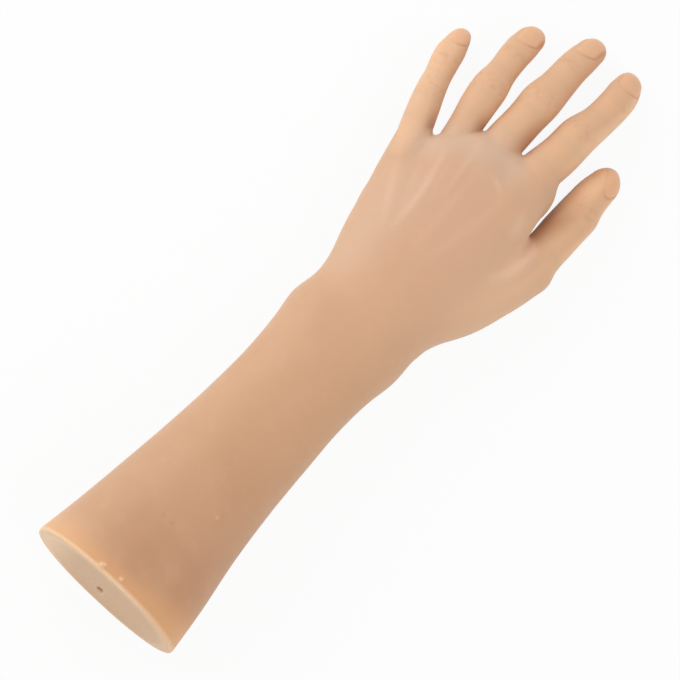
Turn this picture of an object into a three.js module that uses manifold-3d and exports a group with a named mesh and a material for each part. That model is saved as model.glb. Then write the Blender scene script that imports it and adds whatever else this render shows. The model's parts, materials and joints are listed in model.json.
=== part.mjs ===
// A life-size silicone practice hand with its forearm, lying palm down.
// A soft skin is cast round a firmer core, and a jointed armature inside lets the fingers and thumb be posed.
// The real skin is one casting. Here it is divided at each hinge, where the nearer part ends in a ball
// and the further part in a socket, so that every link of a finger is a rigid piece.
// Millimetres, +Z up. The origin is the middle of the cut end. +Y runs along the arm to the fingers,
// and +X points to the thumb's side.
import * as THREE from 'three';
import { LoftGeometry } from 'three/addons/geometries/LoftGeometry.js';
import { mergeVertices } from 'three/addons/utils/BufferGeometryUtils.js';
import Module from 'manifold-3d';

const wasm = await Module();
wasm.setup();

// Fits
const FIT_GAP = 0.3; // between neighbouring pieces
const SWING_MARGIN = 2; // degrees kept free past each limit of a hinge

// Arm and palm: sections from the cut end to the roots of the fingers.
// step is the length from the section before, left and right are half widths,
// top and bottom are heights above and below the origin.
const ARM_SECTIONS = [
  { step: 0, left: 44, right: 44, top: 37, bottom: 37 }, // cut end
  { step: 40, left: 38.8, right: 38.5, top: 31, bottom: 37 },
  { step: 45, left: 34, right: 33.4, top: 23, bottom: 36.5 },
  { step: 50, left: 31.2, right: 31, top: 15, bottom: 35 }, // narrow of the forearm
  { step: 45, left: 34, right: 34.2, top: 10.5, bottom: 33.5 }, // wrist bones
  { step: 17, left: 33, right: 34, top: 9.5, bottom: 33.5 }, // wrist crease
  { step: 23, left: 38.5, right: 36, top: 9.5, bottom: 37 }, // heel of the hand
  { step: 35, left: 44.5, right: 36.5, top: 8, bottom: 34 }, // middle of the palm
  { step: 33, left: 50, right: 35, top: 4, bottom: 28 }, // knuckles
  { step: 17, left: 52, right: 32, top: -1, bottom: 25 },
  { step: 8, left: 50, right: 27, top: -5, bottom: 21 }, // roots of the fingers
];
const WRIST_SECTION = 5;
const SKIN_WALL = 3.5;
const CORE_SETBACK = 43; // from the core's flat front to the roots of the fingers
const KNUCKLE_BOW = 0.0105; // the knuckle line drops by this times the square of the distance from its crown
const KNUCKLE_CROWN = 4; // across the hand, towards the thumb
const PIT = { across: -2.5, height: -5.5, radius: 1.5, depth: 8 }; // casting vent in the core's end

// Fingers. across is where the finger roots on the knuckle line. Each link has its length, its heading from
// the arm's axis and its slope below level at rest, and the half width of the skin in its middle.
// widths are half widths at the hinges, and limit is the most that each hinge bends from straight.
const FINGER_HINGE_HEIGHT = -13;
const FINGERS = {
  index: {
    across: 15.5,
    widths: [11.2, 10.7, 8.8],
    links: [
      { length: 30.6, heading: 3.8, slope: 5, middle: 10.6, limit: 45 },
      { length: 27.9, heading: 5.7, slope: 14, middle: 9.2, limit: 55 },
      { length: 24.2, heading: -1.8, slope: 23, middle: 8.8, limit: 35 },
    ],
  },
  middle: {
    across: -7.9,
    widths: [10.3, 11, 8.9],
    links: [
      { length: 29.6, heading: -0.6, slope: 5, middle: 10.4, limit: 45 },
      { length: 26.8, heading: 0.4, slope: 14, middle: 9.6, limit: 55 },
      { length: 26.6, heading: 3.3, slope: 23, middle: 8.6, limit: 35 },
    ],
  },
  ring: {
    across: -28.2,
    widths: [9.2, 9.5, 8.1],
    links: [
      { length: 26.3, heading: -8.3, slope: 5, middle: 9.6, limit: 45 },
      { length: 22.8, heading: -5.2, slope: 14, middle: 8.2, limit: 55 },
      { length: 24.4, heading: -2.5, slope: 23, middle: 8.5, limit: 35 },
    ],
  },
  little: {
    across: -46.5,
    widths: [8.6, 8, 7.5],
    links: [
      { length: 21.2, heading: -19.5, slope: 7, middle: 8.2, limit: 45 },
      { length: 18.3, heading: -15.4, slope: 16, middle: 7.6, limit: 55 },
      { length: 25.7, heading: -9.4, slope: 25, middle: 7.3, limit: 35 },
    ],
  },
};
const FINGER_DEPTHS = [0.92, 0.92, 0.88, 0.82]; // half thickness over half width at root, middle, end, tip
const STUB = { length: 24, taper: 0.7 }; // a finger's root inside the palm
const TIP_DOME = 9; // length of a rounded fingertip

// Thumb. Its root bows out from the wrist: points past the wrist crease, as across, along and height.
const THUMB_ROOT = [
  { across: 20, along: 6, height: -13, radius: 15 },
  { across: 32, along: 29, height: -16, radius: 14.5 },
  { across: 39.5, along: 50, height: -17.5, radius: 14 },
  { across: 44, along: 71, height: -18, radius: 13 },
];
const THUMB = {
  hinge: { across: 45, along: 84, height: -18 },
  rootSlope: 2,
  widths: [11.9, 11.2],
  links: [
    { length: 34.4, heading: 0.5, slope: 7, middle: 11.5, limit: 40 },
    { length: 31, heading: -2.8, slope: 12, middle: 10.6, limit: 50 },
  ],
};
const THUMB_DEPTHS = [0.9, 0.88, 0.8];

// Armature
const BONE = { width: 6.4, radius: 3, tipGap: 9 }; // links are bars with round ends
const TONGUE = 2.4; // thickness of the tongue that turns in a fork
const NECK_REACH = 1; // the tongue runs this far past the ball
const PIN_RADIUS = 1.25;
const BRACKET_LENGTH = 45;
const THUMB_BRACKET_LENGTH = 28;
const THUMB_FOOT = { from: 16, width: 10, thickness: 4 };
const PLATE = { thickness: 3, tang: 24, lap: 25, side: 28 };
const RIVET = { radius: 1.5, headRadius: 2.8, headHeight: 1.2, fromEnd: 6 };
const ROD = { radius: 4, endSetback: 14, insertion: 22 };
const BLOCK = { width: 24, length: 30, height: 13, past: 7 };
const SCREW = { radius: 2, headRadius: 3.5, headHeight: 2, spacing: 16, bite: 8 };
const SET_SCREW = { radius: 2, length: 3.6 };

// Facets
const ARM_SIDES = 28;
const FINGER_SIDES = 12;
const BALL_SIDES = 16;
const BALL_RINGS = 6;
const ROUND_SIDES = 8;
const ARC_STEPS = 3;
const LINK_RINGS = [0, 1 / 3, 2 / 3, 1]; // shares of a link's length
const DOME_RINGS = [30, 60, 82]; // degrees up a fingertip's dome
const THUMB_ROOT_STEPS = 10;

const DEG = Math.PI / 180;

// Finishes
const SKIN = { color: 0xd9a882, roughness: 0.55, metalness: 0 };
const CORE = { color: 0xcfae92, roughness: 0.8, metalness: 0 };
const ALUMINIUM = { color: 0xb9bcc0, roughness: 0.45, metalness: 1 };
const STEEL = { color: 0x8d9196, roughness: 0.35, metalness: 1 };

// Solids

/** A closed geometry, moved by matrix if one is given, as a solid that can be joined and cut. */
function solid(geometry, matrix = new THREE.Matrix4()) {
  const bare = new THREE.BufferGeometry();
  bare.setAttribute('position', geometry.getAttribute('position').clone());
  bare.setIndex(geometry.index);
  const merged = mergeVertices(bare.applyMatrix4(matrix), 1e-4);
  const vertProperties = merged.attributes.position.array;
  const triVerts = new Uint32Array(merged.index.array);
  return new wasm.Manifold(new wasm.Mesh({ numProp: 3, vertProperties, triVerts }));
}

const join = (...solids) => solids.reduce((whole, piece) => whole.add(piece));
const cut = (whole, ...solids) => solids.reduce((rest, piece) => rest.subtract(piece), whole);

/** A named mesh of a finished solid. */
function part(name, shape, finish) {
  const { vertProperties, triVerts } = shape.getMesh();
  const geometry = new THREE.BufferGeometry();
  geometry.setAttribute('position', new THREE.BufferAttribute(vertProperties, 3));
  geometry.setIndex(new THREE.BufferAttribute(triVerts, 1));
  geometry.computeVertexNormals();
  const mesh = new THREE.Mesh(geometry, new THREE.MeshStandardMaterial(finish));
  mesh.name = name;
  return mesh;
}

const move = (x, y, z) => new THREE.Matrix4().makeTranslation(x, y, z);

/** The turn that takes a link's +Y axis to a heading and a slope below level, in degrees. */
function turn(heading, slope) {
  const angles = new THREE.Euler(-slope * DEG, 0, -heading * DEG, 'ZXY');
  return new THREE.Matrix4().makeRotationFromEuler(angles);
}

/** A box between two corners. */
function box(low, high, matrix) {
  const size = high.map((value, axis) => value - low[axis]);
  const middle = high.map((value, axis) => (value + low[axis]) / 2);
  return solid(new THREE.BoxGeometry(...size).translate(...middle), matrix);
}

/** A shape drawn in the YZ plane and extruded along X to both sides of it. */
function acrossSlab(shape, width, matrix = new THREE.Matrix4()) {
  const settings = { depth: width, bevelEnabled: false, curveSegments: ARC_STEPS };
  const geometry = new THREE.ExtrudeGeometry(shape, settings);
  const axes = new THREE.Matrix4().makeBasis(
    new THREE.Vector3(0, 1, 0),
    new THREE.Vector3(0, 0, 1),
    new THREE.Vector3(1, 0, 0),
  );
  return solid(geometry.translate(0, 0, -width / 2), new THREE.Matrix4().multiplyMatrices(matrix, axes));
}

/** A round bar along X, centred on the origin. */
function crossBar(radius, length, matrix) {
  return solid(new THREE.CylinderGeometry(radius, radius, length, ROUND_SIDES).rotateZ(Math.PI / 2), matrix);
}

/** A round bar along Z between two heights. */
function upright(radius, low, high, x, y) {
  const bar = new THREE.CylinderGeometry(radius, radius, high - low, ROUND_SIDES).rotateX(Math.PI / 2);
  return solid(bar, move(x, y, (low + high) / 2));
}

/** A ball of revolution about X: half width along the hinge, radius across it. */
function hingeBall(halfWidth, radius, matrix) {
  const ball = new THREE.SphereGeometry(1, BALL_SIDES, BALL_RINGS).rotateZ(Math.PI / 2);
  return solid(ball.scale(halfWidth, radius, radius), matrix);
}

// Arm profile

/** Smooth curve through values at rising places: cubic pieces whose slopes come from the neighbours. */
function through(places, values, at) {
  const last = places.length - 1;
  const x = Math.min(Math.max(at, places[0]), places[last]);
  const k = Math.min(places.findLastIndex((place) => place <= x), last - 1);
  const slope = (i) => {
    const a = Math.max(i - 1, 0);
    const b = Math.min(i + 1, last);
    return (values[b] - values[a]) / (places[b] - places[a]);
  };
  const span = places[k + 1] - places[k];
  const t = (x - places[k]) / span;
  const rise = values[k + 1] - values[k];
  const [m0, m1] = [slope(k) * span, slope(k + 1) * span];
  return values[k] + t * (m0 + t * (3 * rise - 2 * m0 - m1 + t * (m0 + m1 - 2 * rise)));
}

const armPlaces = ARM_SECTIONS.reduce((places, { step }) => [...places, (places.at(-1) ?? 0) + step], []);
const armRings = armPlaces.flatMap((y, k) => (k ? [(armPlaces[k - 1] + y) / 2, y] : [y]));
const armEnd = armPlaces.at(-1);
const wrist = armPlaces[WRIST_SECTION];

/** Half widths and heights of the arm's section at a distance from the cut end. */
function armAt(y) {
  const read = (key) => through(armPlaces, ARM_SECTIONS.map((section) => section[key]), y);
  return { left: read('left'), right: read('right'), top: read('top'), bottom: -read('bottom') };
}

/** How far a point of a section lies behind its middle, because the palm's front follows the knuckles. */
function bow(y, x) {
  const share = THREE.MathUtils.smoothstep(y, wrist, armEnd);
  return share * KNUCKLE_BOW * (x - KNUCKLE_CROWN) ** 2;
}

/** A closed ring of points round the +Y axis, from half sizes to each side of a middle point. */
function ring(sides, y, { left, right, top, bottom }, middle = (top + bottom) / 2) {
  return Array.from({ length: sides }, (_, k) => {
    const angle = (2 * Math.PI * k) / sides;
    const x = -Math.cos(angle);
    const z = Math.sin(angle);
    const reach = z < 0 ? middle - bottom : top - middle;
    return new THREE.Vector3(x * (x < 0 ? left : right), y, middle + z * reach);
  });
}

/** A loft of the arm's sections, drawn in by inset all round, from y = start to y = end. */
function armLoft(inset, start, end, isBowed = false) {
  const between = armRings.filter((y) => y > start && y < end);
  const sections = [start, ...between, end].map((y) => {
    const size = armAt(y);
    const drawn = {
      left: size.left - inset,
      right: size.right - inset,
      top: size.top - inset,
      bottom: size.bottom + inset,
    };
    const points = ring(ARM_SIDES, y, drawn);
    if (isBowed) points.forEach((point) => (point.y -= bow(y, point.x)));
    return points;
  });
  return solid(new LoftGeometry(sections, { capStart: true, capEnd: true }));
}

// Fingers as chains of links

/** A loft of elliptic rings along +Y. stations: { y, half, depth }, half width and half thickness. */
function fingerLoft(stations, matrix) {
  const sections = stations.map(({ y, half, depth }) =>
    ring(FINGER_SIDES, y, { left: half, right: half, top: depth, bottom: -depth }),
  );
  return solid(new LoftGeometry(sections, { capStart: true, capEnd: true }), matrix);
}

/** The skin's outer form along one link, a little longer than the link at both ends. */
function linkForm(link) {
  const { length, middle, near, far, isTip } = link;
  const places = [0, length / 2, length];
  const halves = [near.half, middle, isTip ? middle : far.half];
  const depths = [near.depth, (near.depth + far.depth) / 2, far.depth];
  const at = (y, share = 1) => ({
    y,
    half: through(places, halves, y) * share,
    depth: through(places, depths, y) * share,
  });
  const body = LINK_RINGS.map((share) => at(share * (isTip ? length - TIP_DOME : length)));
  const start = { ...at(0), y: -near.depth };
  if (!isTip) return fingerLoft([start, ...body, { ...at(length), y: length + far.depth }]);
  const dome = DOME_RINGS.map((angle) =>
    at(length - TIP_DOME + TIP_DOME * Math.sin(angle * DEG), Math.cos(angle * DEG)),
  );
  return fingerLoft([start, ...body, ...dome]);
}

/** A bar with round ends along +Y, from one end's centre to the other's. */
function barShape(from, to, radius) {
  const shape = new THREE.Shape();
  shape.absarc(from, 0, radius, 0.5 * Math.PI, 1.5 * Math.PI, false);
  shape.absarc(to, 0, radius, -0.5 * Math.PI, 0.5 * Math.PI, false);
  return shape;
}

const bar = (from, to, grow, matrix) =>
  acrossSlab(barShape(from, to, BONE.radius + grow), BONE.width + 2 * grow, matrix);

/** The room that a tongue of half height sweeps as it bends from straight to limit, out to reach. */
function swingShape(limit, reach) {
  const half = BONE.radius + FIT_GAP;
  const [first, last] = [SWING_MARGIN * DEG, -(limit + SWING_MARGIN) * DEG];
  const edge = Math.asin(half / reach);
  const shape = new THREE.Shape();
  shape.absarc(0, 0, reach, first + edge, last - edge, true);
  shape.absarc(0, 0, half, last - 0.5 * Math.PI, first + 0.5 * Math.PI - 2 * Math.PI, true);
  return shape;
}

/** The side of a hinge that a link's own skin has to keep clear of, so that it can bend to its limit. */
function clearWedge(limit, size) {
  const palmar = -(90 - limit - SWING_MARGIN) * DEG;
  const dorsal = (90 - SWING_MARGIN) * DEG;
  const shape = new THREE.Shape();
  shape.moveTo(0, 0);
  shape.lineTo(size * Math.cos(dorsal), size * Math.sin(dorsal));
  shape.lineTo(-size, size);
  shape.lineTo(-size, -size);
  shape.lineTo(size * Math.cos(palmar), size * Math.sin(palmar));
  return acrossSlab(shape, 2 * size);
}

/** What a hinge's nearer side adds to the skin and takes from it. frame is the hinge at straight. */
function hingeSeat({ half, depth }, limit, frame) {
  const size = 4 * half;
  return {
    beyond: box([-half - 2 * FIT_GAP, 0, -size], [half + 2 * FIT_GAP, size, size], frame),
    ball: hingeBall(half, depth, frame),
    swing: acrossSlab(swingShape(limit, depth + NECK_REACH), TONGUE + 2 * FIT_GAP, frame),
  };
}

/** A fork's slot and pin hole at the far end of a bar. */
function forkCut(frame) {
  const deep = BONE.radius + FIT_GAP;
  const half = TONGUE / 2 + FIT_GAP;
  return join(box([-half, -deep, -2 * deep], [half, 2 * deep, 2 * deep], frame), pinHole(frame));
}

const pinHole = (frame) => crossBar(PIN_RADIUS + FIT_GAP, 2 * BONE.width, frame);

/** What a finger's pieces share: each link with its sizes at both hinges and its bends from the last. */
function chain(name, { links, widths }, depths, root) {
  const hinge = (k) => ({ half: widths[k], depth: widths[k] * depths[k] });
  return links.map((link, k) => {
    const isTip = k === links.length - 1;
    const before = k ? links[k - 1] : root;
    return {
      ...link,
      name,
      isTip,
      near: hinge(k),
      far: isTip ? { half: link.middle, depth: link.middle * depths[k + 1] } : hinge(k + 1),
      rest: link.slope - before.slope,
      bend: k ? link.heading - before.heading : 0,
    };
  });
}

/** The hinge at a link's far end, straight, in the link's own frame. */
const farFrame = (link, next) =>
  new THREE.Matrix4().multiplyMatrices(move(0, link.length, 0), turn(next.bend, 0));

function linkBone(link, next) {
  const end = link.isTip ? link.length - BONE.tipGap : link.length;
  const neck = link.near.depth + NECK_REACH;
  const cheek = (side) => {
    const [near, far] = [TONGUE / 2, BONE.width].map((x) => x * side).sort((a, b) => a - b);
    return box([near, -neck, -neck], [far, neck, neck]);
  };
  const bone = cut(bar(0, end, 0), cheek(1), cheek(-1), pinHole());
  return next ? cut(bone, forkCut(farFrame(link, next))) : bone;
}

function linkSkin(link, next) {
  const socket = hingeBall(link.near.half + FIT_GAP, link.near.depth + FIT_GAP);
  const tunnelEnd = link.isTip ? link.length - BONE.tipGap : link.length;
  const tunnel = bar(0, tunnelEnd, FIT_GAP);
  let form = linkForm(link);
  if (next) {
    const frame = farFrame(link, next);
    const seat = hingeSeat(link.far, next.limit, frame);
    const half = 2 * link.far.half;
    const past = box([-half, 0, -half], [half, 2 * half, half], frame);
    form = cut(join(cut(form, past), seat.ball), seat.swing);
  }
  return cut(form, clearWedge(link.limit, 4 * link.near.half), socket, tunnel);
}

const PIN_NAMES = ['knuckle_pin', 'middle_pin', 'tip_pin'];
const LINK_NAMES = ['proximal', 'middle', 'tip'];

/** The pin at a link's near hinge. It is held in the fork before the link. */
function hingePin(name, k, isThumb, frame) {
  const pinName = isThumb && k ? 'tip_pin' : PIN_NAMES[k];
  return part(`${name}_${pinName}`, crossBar(PIN_RADIUS, BONE.width, frame), STEEL);
}

/** Adds a finger's links to the group of what carries it, each link's group inside the one before. */
function addFinger(carrier, links, frame) {
  let parent = carrier;
  links.forEach((link, k) => {
    const isThumb = links.length < LINK_NAMES.length;
    const linkName = isThumb && k ? 'tip' : LINK_NAMES[k];
    const hinge = k ? farFrame(links[k - 1], link) : frame;
    const group = new THREE.Group();
    group.name = `${link.name}_${linkName}`;
    const turned = new THREE.Matrix4().multiplyMatrices(hinge, turn(0, link.rest));
    turned.decompose(group.position, group.quaternion, group.scale);
    const next = links[k + 1];
    group.add(part(`${group.name}_bone`, linkBone(link, next), ALUMINIUM));
    group.add(part(`${group.name}_skin`, linkSkin(link, next), SKIN));
    parent.add(hingePin(link.name, k, isThumb, hinge), group);
    parent = group;
  });
}

// Frames of the knuckle hinges, straight, in the arm's frame

const fingerRoots = Object.entries(FINGERS).map(([name, finger]) => {
  const y = armEnd - bow(armEnd, finger.across);
  const frame = move(finger.across, y, FINGER_HINGE_HEIGHT).multiply(turn(finger.links[0].heading, 0));
  return { name, frame, links: chain(name, finger, FINGER_DEPTHS, { slope: 0 }) };
});
const thumbRoot = {
  name: 'thumb',
  frame: move(THUMB.hinge.across, wrist + THUMB.hinge.along, THUMB.hinge.height).multiply(
    turn(THUMB.links[0].heading, THUMB.rootSlope),
  ),
  links: chain('thumb', THUMB, THUMB_DEPTHS, { slope: THUMB.rootSlope }),
};
const allRoots = [...fingerRoots, thumbRoot];

// Armature in the palm and forearm

const plateTop = FINGER_HINGE_HEIGHT - BONE.radius - FIT_GAP;
const plateLow = plateTop - PLATE.thickness;
const blockLow = plateTop + FIT_GAP;
const blockTop = blockLow + BLOCK.height;
const rodHeight = (blockLow + blockTop) / 2;
const blockEnd = wrist + BLOCK.past;
const blockStart = blockEnd - BLOCK.length;
const rodEnd = blockStart + ROD.insertion;

/** Where a bracket's rivet stands, in the arm's frame. */
const rivetPoint = ({ frame }) => new THREE.Vector3(0, RIVET.fromEnd - BRACKET_LENGTH, 0).applyMatrix4(frame);

const bracketTop = FINGER_HINGE_HEIGHT + BONE.radius;
const footLow = plateTop + FIT_GAP;
const footTop = footLow + THUMB_FOOT.thickness;
const thumbHeel = new THREE.Vector3(0, -THUMB_BRACKET_LENGTH, 0).applyMatrix4(thumbRoot.frame);
const footRivet = new THREE.Vector3(THUMB_FOOT.from + RIVET.fromEnd, thumbHeel.y, 0);

function fingerBracket(root, grow = 0) {
  const whole = bar(-BRACKET_LENGTH, 0, grow, root.frame);
  if (grow) return whole;
  const { x, y } = rivetPoint(root);
  const hole = upright(RIVET.radius + FIT_GAP, plateLow, 0, x, y);
  return cut(whole, forkCut(root.frame), hole);
}

/** The thumb's bar, a foot that lies on the palm plate, and a post where the two meet. */
function thumbBracket(grow = 0) {
  const half = THUMB_FOOT.width / 2 + grow;
  const [back, front] = [thumbHeel.y - half, thumbHeel.y + half];
  const side = BONE.width / 2 + grow;
  const foot = box([THUMB_FOOT.from - grow, back, footLow - grow], [thumbHeel.x, front, footTop + grow]);
  const postLow = Math.min(footLow, thumbHeel.z) - grow;
  const postTop = Math.max(footTop, thumbHeel.z) + grow;
  const post = box([thumbHeel.x - side, back, postLow], [thumbHeel.x + side, front, postTop]);
  const whole = join(bar(-THUMB_BRACKET_LENGTH, 0, grow, thumbRoot.frame), foot, post);
  if (grow) return whole;
  const hole = upright(RIVET.radius + FIT_GAP, plateLow, 0, footRivet.x, footRivet.y);
  return cut(whole, forkCut(thumbRoot.frame), hole);
}

/** The palm plate's outline: a tang under the wrist block that opens out to the rivets. */
function plateOutline(grow) {
  const tang = PLATE.tang / 2 + grow;
  const [index, middle, ringFinger, little] = fingerRoots.map(rivetPoint);
  const reach = RIVET.headRadius + RIVET.fromEnd + grow;
  const start = wrist - PLATE.lap - grow;
  const outline = new THREE.Shape();
  outline.moveTo(-tang, start);
  outline.lineTo(tang, start);
  outline.lineTo(tang, blockEnd);
  outline.lineTo(PLATE.side + grow, thumbHeel.y - THUMB_FOOT.width);
  outline.lineTo(PLATE.side + grow, thumbHeel.y + THUMB_FOOT.width);
  outline.lineTo(index.x + reach, index.y + reach);
  outline.lineTo(middle.x, middle.y + reach);
  outline.lineTo(ringFinger.x - RIVET.fromEnd, ringFinger.y + reach);
  outline.lineTo(little.x - reach, little.y + RIVET.fromEnd + grow);
  outline.lineTo(little.x - reach, little.y - reach);
  outline.lineTo(-tang, blockEnd);
  return outline;
}

const screwPoints = [-1, 1].map((side) => ({
  name: side < 0 ? 'left' : 'right',
  x: (side * SCREW.spacing) / 2,
  y: blockStart + BLOCK.length / 2,
}));

function palmPlate(grow = 0) {
  const depth = PLATE.thickness + 2 * grow;
  const slab = new THREE.ExtrudeGeometry(plateOutline(grow), { depth, bevelEnabled: false });
  const whole = solid(slab, move(0, 0, plateLow - grow));
  if (grow) return whole;
  const hole = (radius, { x, y }) => upright(radius + FIT_GAP, plateLow - FIT_GAP, plateTop + FIT_GAP, x, y);
  return cut(
    whole,
    ...rivets.map(({ at }) => hole(RIVET.radius, at)),
    ...screwPoints.map((point) => hole(SCREW.radius, point)),
  );
}

/** A rivet through what lies on the plate up to top, with a head at both ends. */
function rivet({ x, y }, top, grow = 0) {
  const headLow = top + FIT_GAP;
  const tailTop = plateLow - FIT_GAP;
  const [head, shank] = [RIVET.headRadius + grow, RIVET.radius + grow];
  return join(
    upright(shank, tailTop - RIVET.headHeight / 2, headLow + RIVET.headHeight / 2, x, y),
    upright(head, headLow - grow, headLow + RIVET.headHeight + grow, x, y),
    upright(head, tailTop - RIVET.headHeight - grow, tailTop + grow, x, y),
  );
}

const rivets = [
  ...fingerRoots.map((root) => ({ name: root.name, at: rivetPoint(root), top: bracketTop })),
  { name: 'thumb', at: footRivet, top: footTop },
];

function wristBlock(grow = 0) {
  const half = BLOCK.width / 2 + grow;
  const whole = box([-half, blockStart - grow, blockLow - grow], [half, blockEnd + grow, blockTop + grow]);
  if (grow) return whole;
  const bore = forearmRod(FIT_GAP);
  const grub = upright(SET_SCREW.radius + FIT_GAP, rodHeight, blockTop + 1, 0, screwPoints[0].y);
  const threads = screwPoints.map(({ x, y }) =>
    upright(SCREW.radius + FIT_GAP, blockLow - 1, blockLow + SCREW.bite + FIT_GAP, x, y),
  );
  return cut(whole, bore, grub, ...threads);
}

function forearmRod(grow = 0) {
  const length = rodEnd - ROD.endSetback + 2 * grow;
  const rod = new THREE.CylinderGeometry(ROD.radius + grow, ROD.radius + grow, length, ROUND_SIDES);
  return solid(rod, move(0, (rodEnd + ROD.endSetback) / 2, rodHeight));
}

function setScrew(grow = 0) {
  const low = rodHeight + ROD.radius + FIT_GAP;
  return upright(SET_SCREW.radius + grow, low - grow, low + SET_SCREW.length + grow, 0, screwPoints[0].y);
}

function plateScrew({ x, y }, grow = 0) {
  const headTop = plateLow - FIT_GAP;
  return join(
    upright(SCREW.radius + grow, headTop - SCREW.headHeight / 2, blockLow + SCREW.bite, x, y),
    upright(SCREW.headRadius + grow, headTop - SCREW.headHeight - grow, headTop + grow, x, y),
  );
}

/** All armature of palm and forearm, grown by the fit gap: the room that it takes in skin and core. */
function armatureRoom() {
  return join(
    forearmRod(FIT_GAP),
    wristBlock(FIT_GAP),
    setScrew(FIT_GAP),
    palmPlate(FIT_GAP),
    ...screwPoints.map((point) => plateScrew(point, FIT_GAP)),
    ...fingerRoots.map((root) => fingerBracket(root, FIT_GAP)),
    thumbBracket(FIT_GAP),
    ...rivets.map(({ at, top }) => rivet(at, top, FIT_GAP)),
  );
}

// Skin and core of the arm

/** The thumb's root: rings along a curve from inside the wrist to the thumb's first hinge. */
function thumbRootForm() {
  const hinge = new THREE.Vector3().setFromMatrixPosition(thumbRoot.frame);
  const points = THUMB_ROOT.map(
    ({ across, along, height }) => new THREE.Vector3(across, wrist + along, height),
  );
  const path = new THREE.CatmullRomCurve3([...points, hinge]);
  const radii = [...THUMB_ROOT.map(({ radius }) => radius), thumbRoot.links[0].near.half];
  const places = radii.map((_, k) => k / (radii.length - 1));
  const sections = Array.from({ length: THUMB_ROOT_STEPS + 1 }, (_, k) => {
    const t = k / THUMB_ROOT_STEPS;
    const half = through(places, radii, t);
    const depth = half * THUMB_DEPTHS[0];
    const along = path.getTangent(t);
    const heading = Math.atan2(along.x, along.y) / DEG;
    const slope = -Math.asin(along.z) / DEG;
    const frame = turn(heading, slope).setPosition(path.getPoint(t));
    return ring(FINGER_SIDES, 0, { left: half, right: half, top: depth, bottom: -depth }).map((point) =>
      point.applyMatrix4(frame),
    );
  });
  return solid(new LoftGeometry(sections, { capStart: true, capEnd: true }));
}

/** A finger's root, from inside the palm to its first hinge. */
function fingerStub({ frame, links }) {
  const { half, depth } = links[0].near;
  const inside = { y: -STUB.length, half: STUB.taper * half, depth: STUB.taper * depth };
  const shoulder = { y: -STUB.length / 2, half, depth };
  return fingerLoft([inside, shoulder, { y: 0, half, depth }], frame);
}

function armSkin(room) {
  const outer = join(armLoft(0, 0, armEnd, true), thumbRootForm(), ...fingerRoots.map(fingerStub));
  const hollow = armLoft(SKIN_WALL, -SKIN_WALL, armEnd - CORE_SETBACK);
  const seats = allRoots.map(({ frame, links }) => hingeSeat(links[0].near, links[0].limit, frame));
  const trimmed = cut(outer, ...seats.map(({ beyond }) => beyond));
  const rooted = join(trimmed, ...seats.map(({ ball }) => ball));
  return cut(rooted, ...seats.map(({ swing }) => swing), hollow, room);
}

function armCore(room) {
  const whole = armLoft(SKIN_WALL + FIT_GAP, 0, armEnd - CORE_SETBACK - FIT_GAP);
  const vent = new THREE.CylinderGeometry(PIT.radius, PIT.radius, 2 * PIT.depth, ROUND_SIDES);
  return cut(whole, room, solid(vent, move(PIT.across, 0, PIT.height)));
}

// Assembly

const hand = new THREE.Group();
const room = armatureRoom();
hand.add(
  part('arm_skin', armSkin(room), SKIN),
  part('arm_core', armCore(room), CORE),
  part('forearm_rod', forearmRod(), ALUMINIUM),
  part('wrist_block', wristBlock(), ALUMINIUM),
  part('rod_set_screw', setScrew(), STEEL),
  part('palm_plate', palmPlate(), ALUMINIUM),
  ...screwPoints.map((point) => part(`plate_screw_${point.name}`, plateScrew(point), STEEL)),
  ...fingerRoots.map((root) => part(`${root.name}_bracket`, fingerBracket(root), ALUMINIUM)),
  part('thumb_bracket', thumbBracket(), ALUMINIUM),
  ...rivets.map(({ name, at, top }) => part(`${name}_rivet`, rivet(at, top), STEEL)),
);
allRoots.forEach(({ links, frame }) => addFinger(hand, links, frame));

export default hand;
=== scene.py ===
"""Looks of a tattoo practice hand: silicone casting, cut core, armature finishes and studio."""
import json
import math

import bpy
import numpy as np
from mathutils import Matrix, Vector


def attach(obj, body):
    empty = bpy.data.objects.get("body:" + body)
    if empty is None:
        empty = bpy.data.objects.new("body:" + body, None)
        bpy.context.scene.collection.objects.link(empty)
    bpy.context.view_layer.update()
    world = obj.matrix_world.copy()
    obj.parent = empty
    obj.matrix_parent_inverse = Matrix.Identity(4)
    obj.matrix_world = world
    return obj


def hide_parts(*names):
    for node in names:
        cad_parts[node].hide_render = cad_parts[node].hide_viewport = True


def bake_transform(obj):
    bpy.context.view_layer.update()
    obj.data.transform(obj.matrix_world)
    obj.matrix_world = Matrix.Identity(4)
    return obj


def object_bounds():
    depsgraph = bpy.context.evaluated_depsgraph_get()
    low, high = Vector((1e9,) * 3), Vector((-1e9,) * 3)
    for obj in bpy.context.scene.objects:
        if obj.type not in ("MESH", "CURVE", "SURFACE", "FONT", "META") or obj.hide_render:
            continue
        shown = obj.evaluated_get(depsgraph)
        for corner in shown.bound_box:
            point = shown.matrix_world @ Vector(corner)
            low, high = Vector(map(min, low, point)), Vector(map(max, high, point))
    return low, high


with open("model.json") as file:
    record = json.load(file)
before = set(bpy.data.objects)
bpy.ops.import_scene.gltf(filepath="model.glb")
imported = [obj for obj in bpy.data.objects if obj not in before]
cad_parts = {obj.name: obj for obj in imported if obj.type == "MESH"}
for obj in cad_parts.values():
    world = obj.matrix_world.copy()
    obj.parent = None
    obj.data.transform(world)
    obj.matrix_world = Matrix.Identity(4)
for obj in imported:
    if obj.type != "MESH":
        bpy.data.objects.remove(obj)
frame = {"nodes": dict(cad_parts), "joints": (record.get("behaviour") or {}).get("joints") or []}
cad_low, cad_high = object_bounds()

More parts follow.
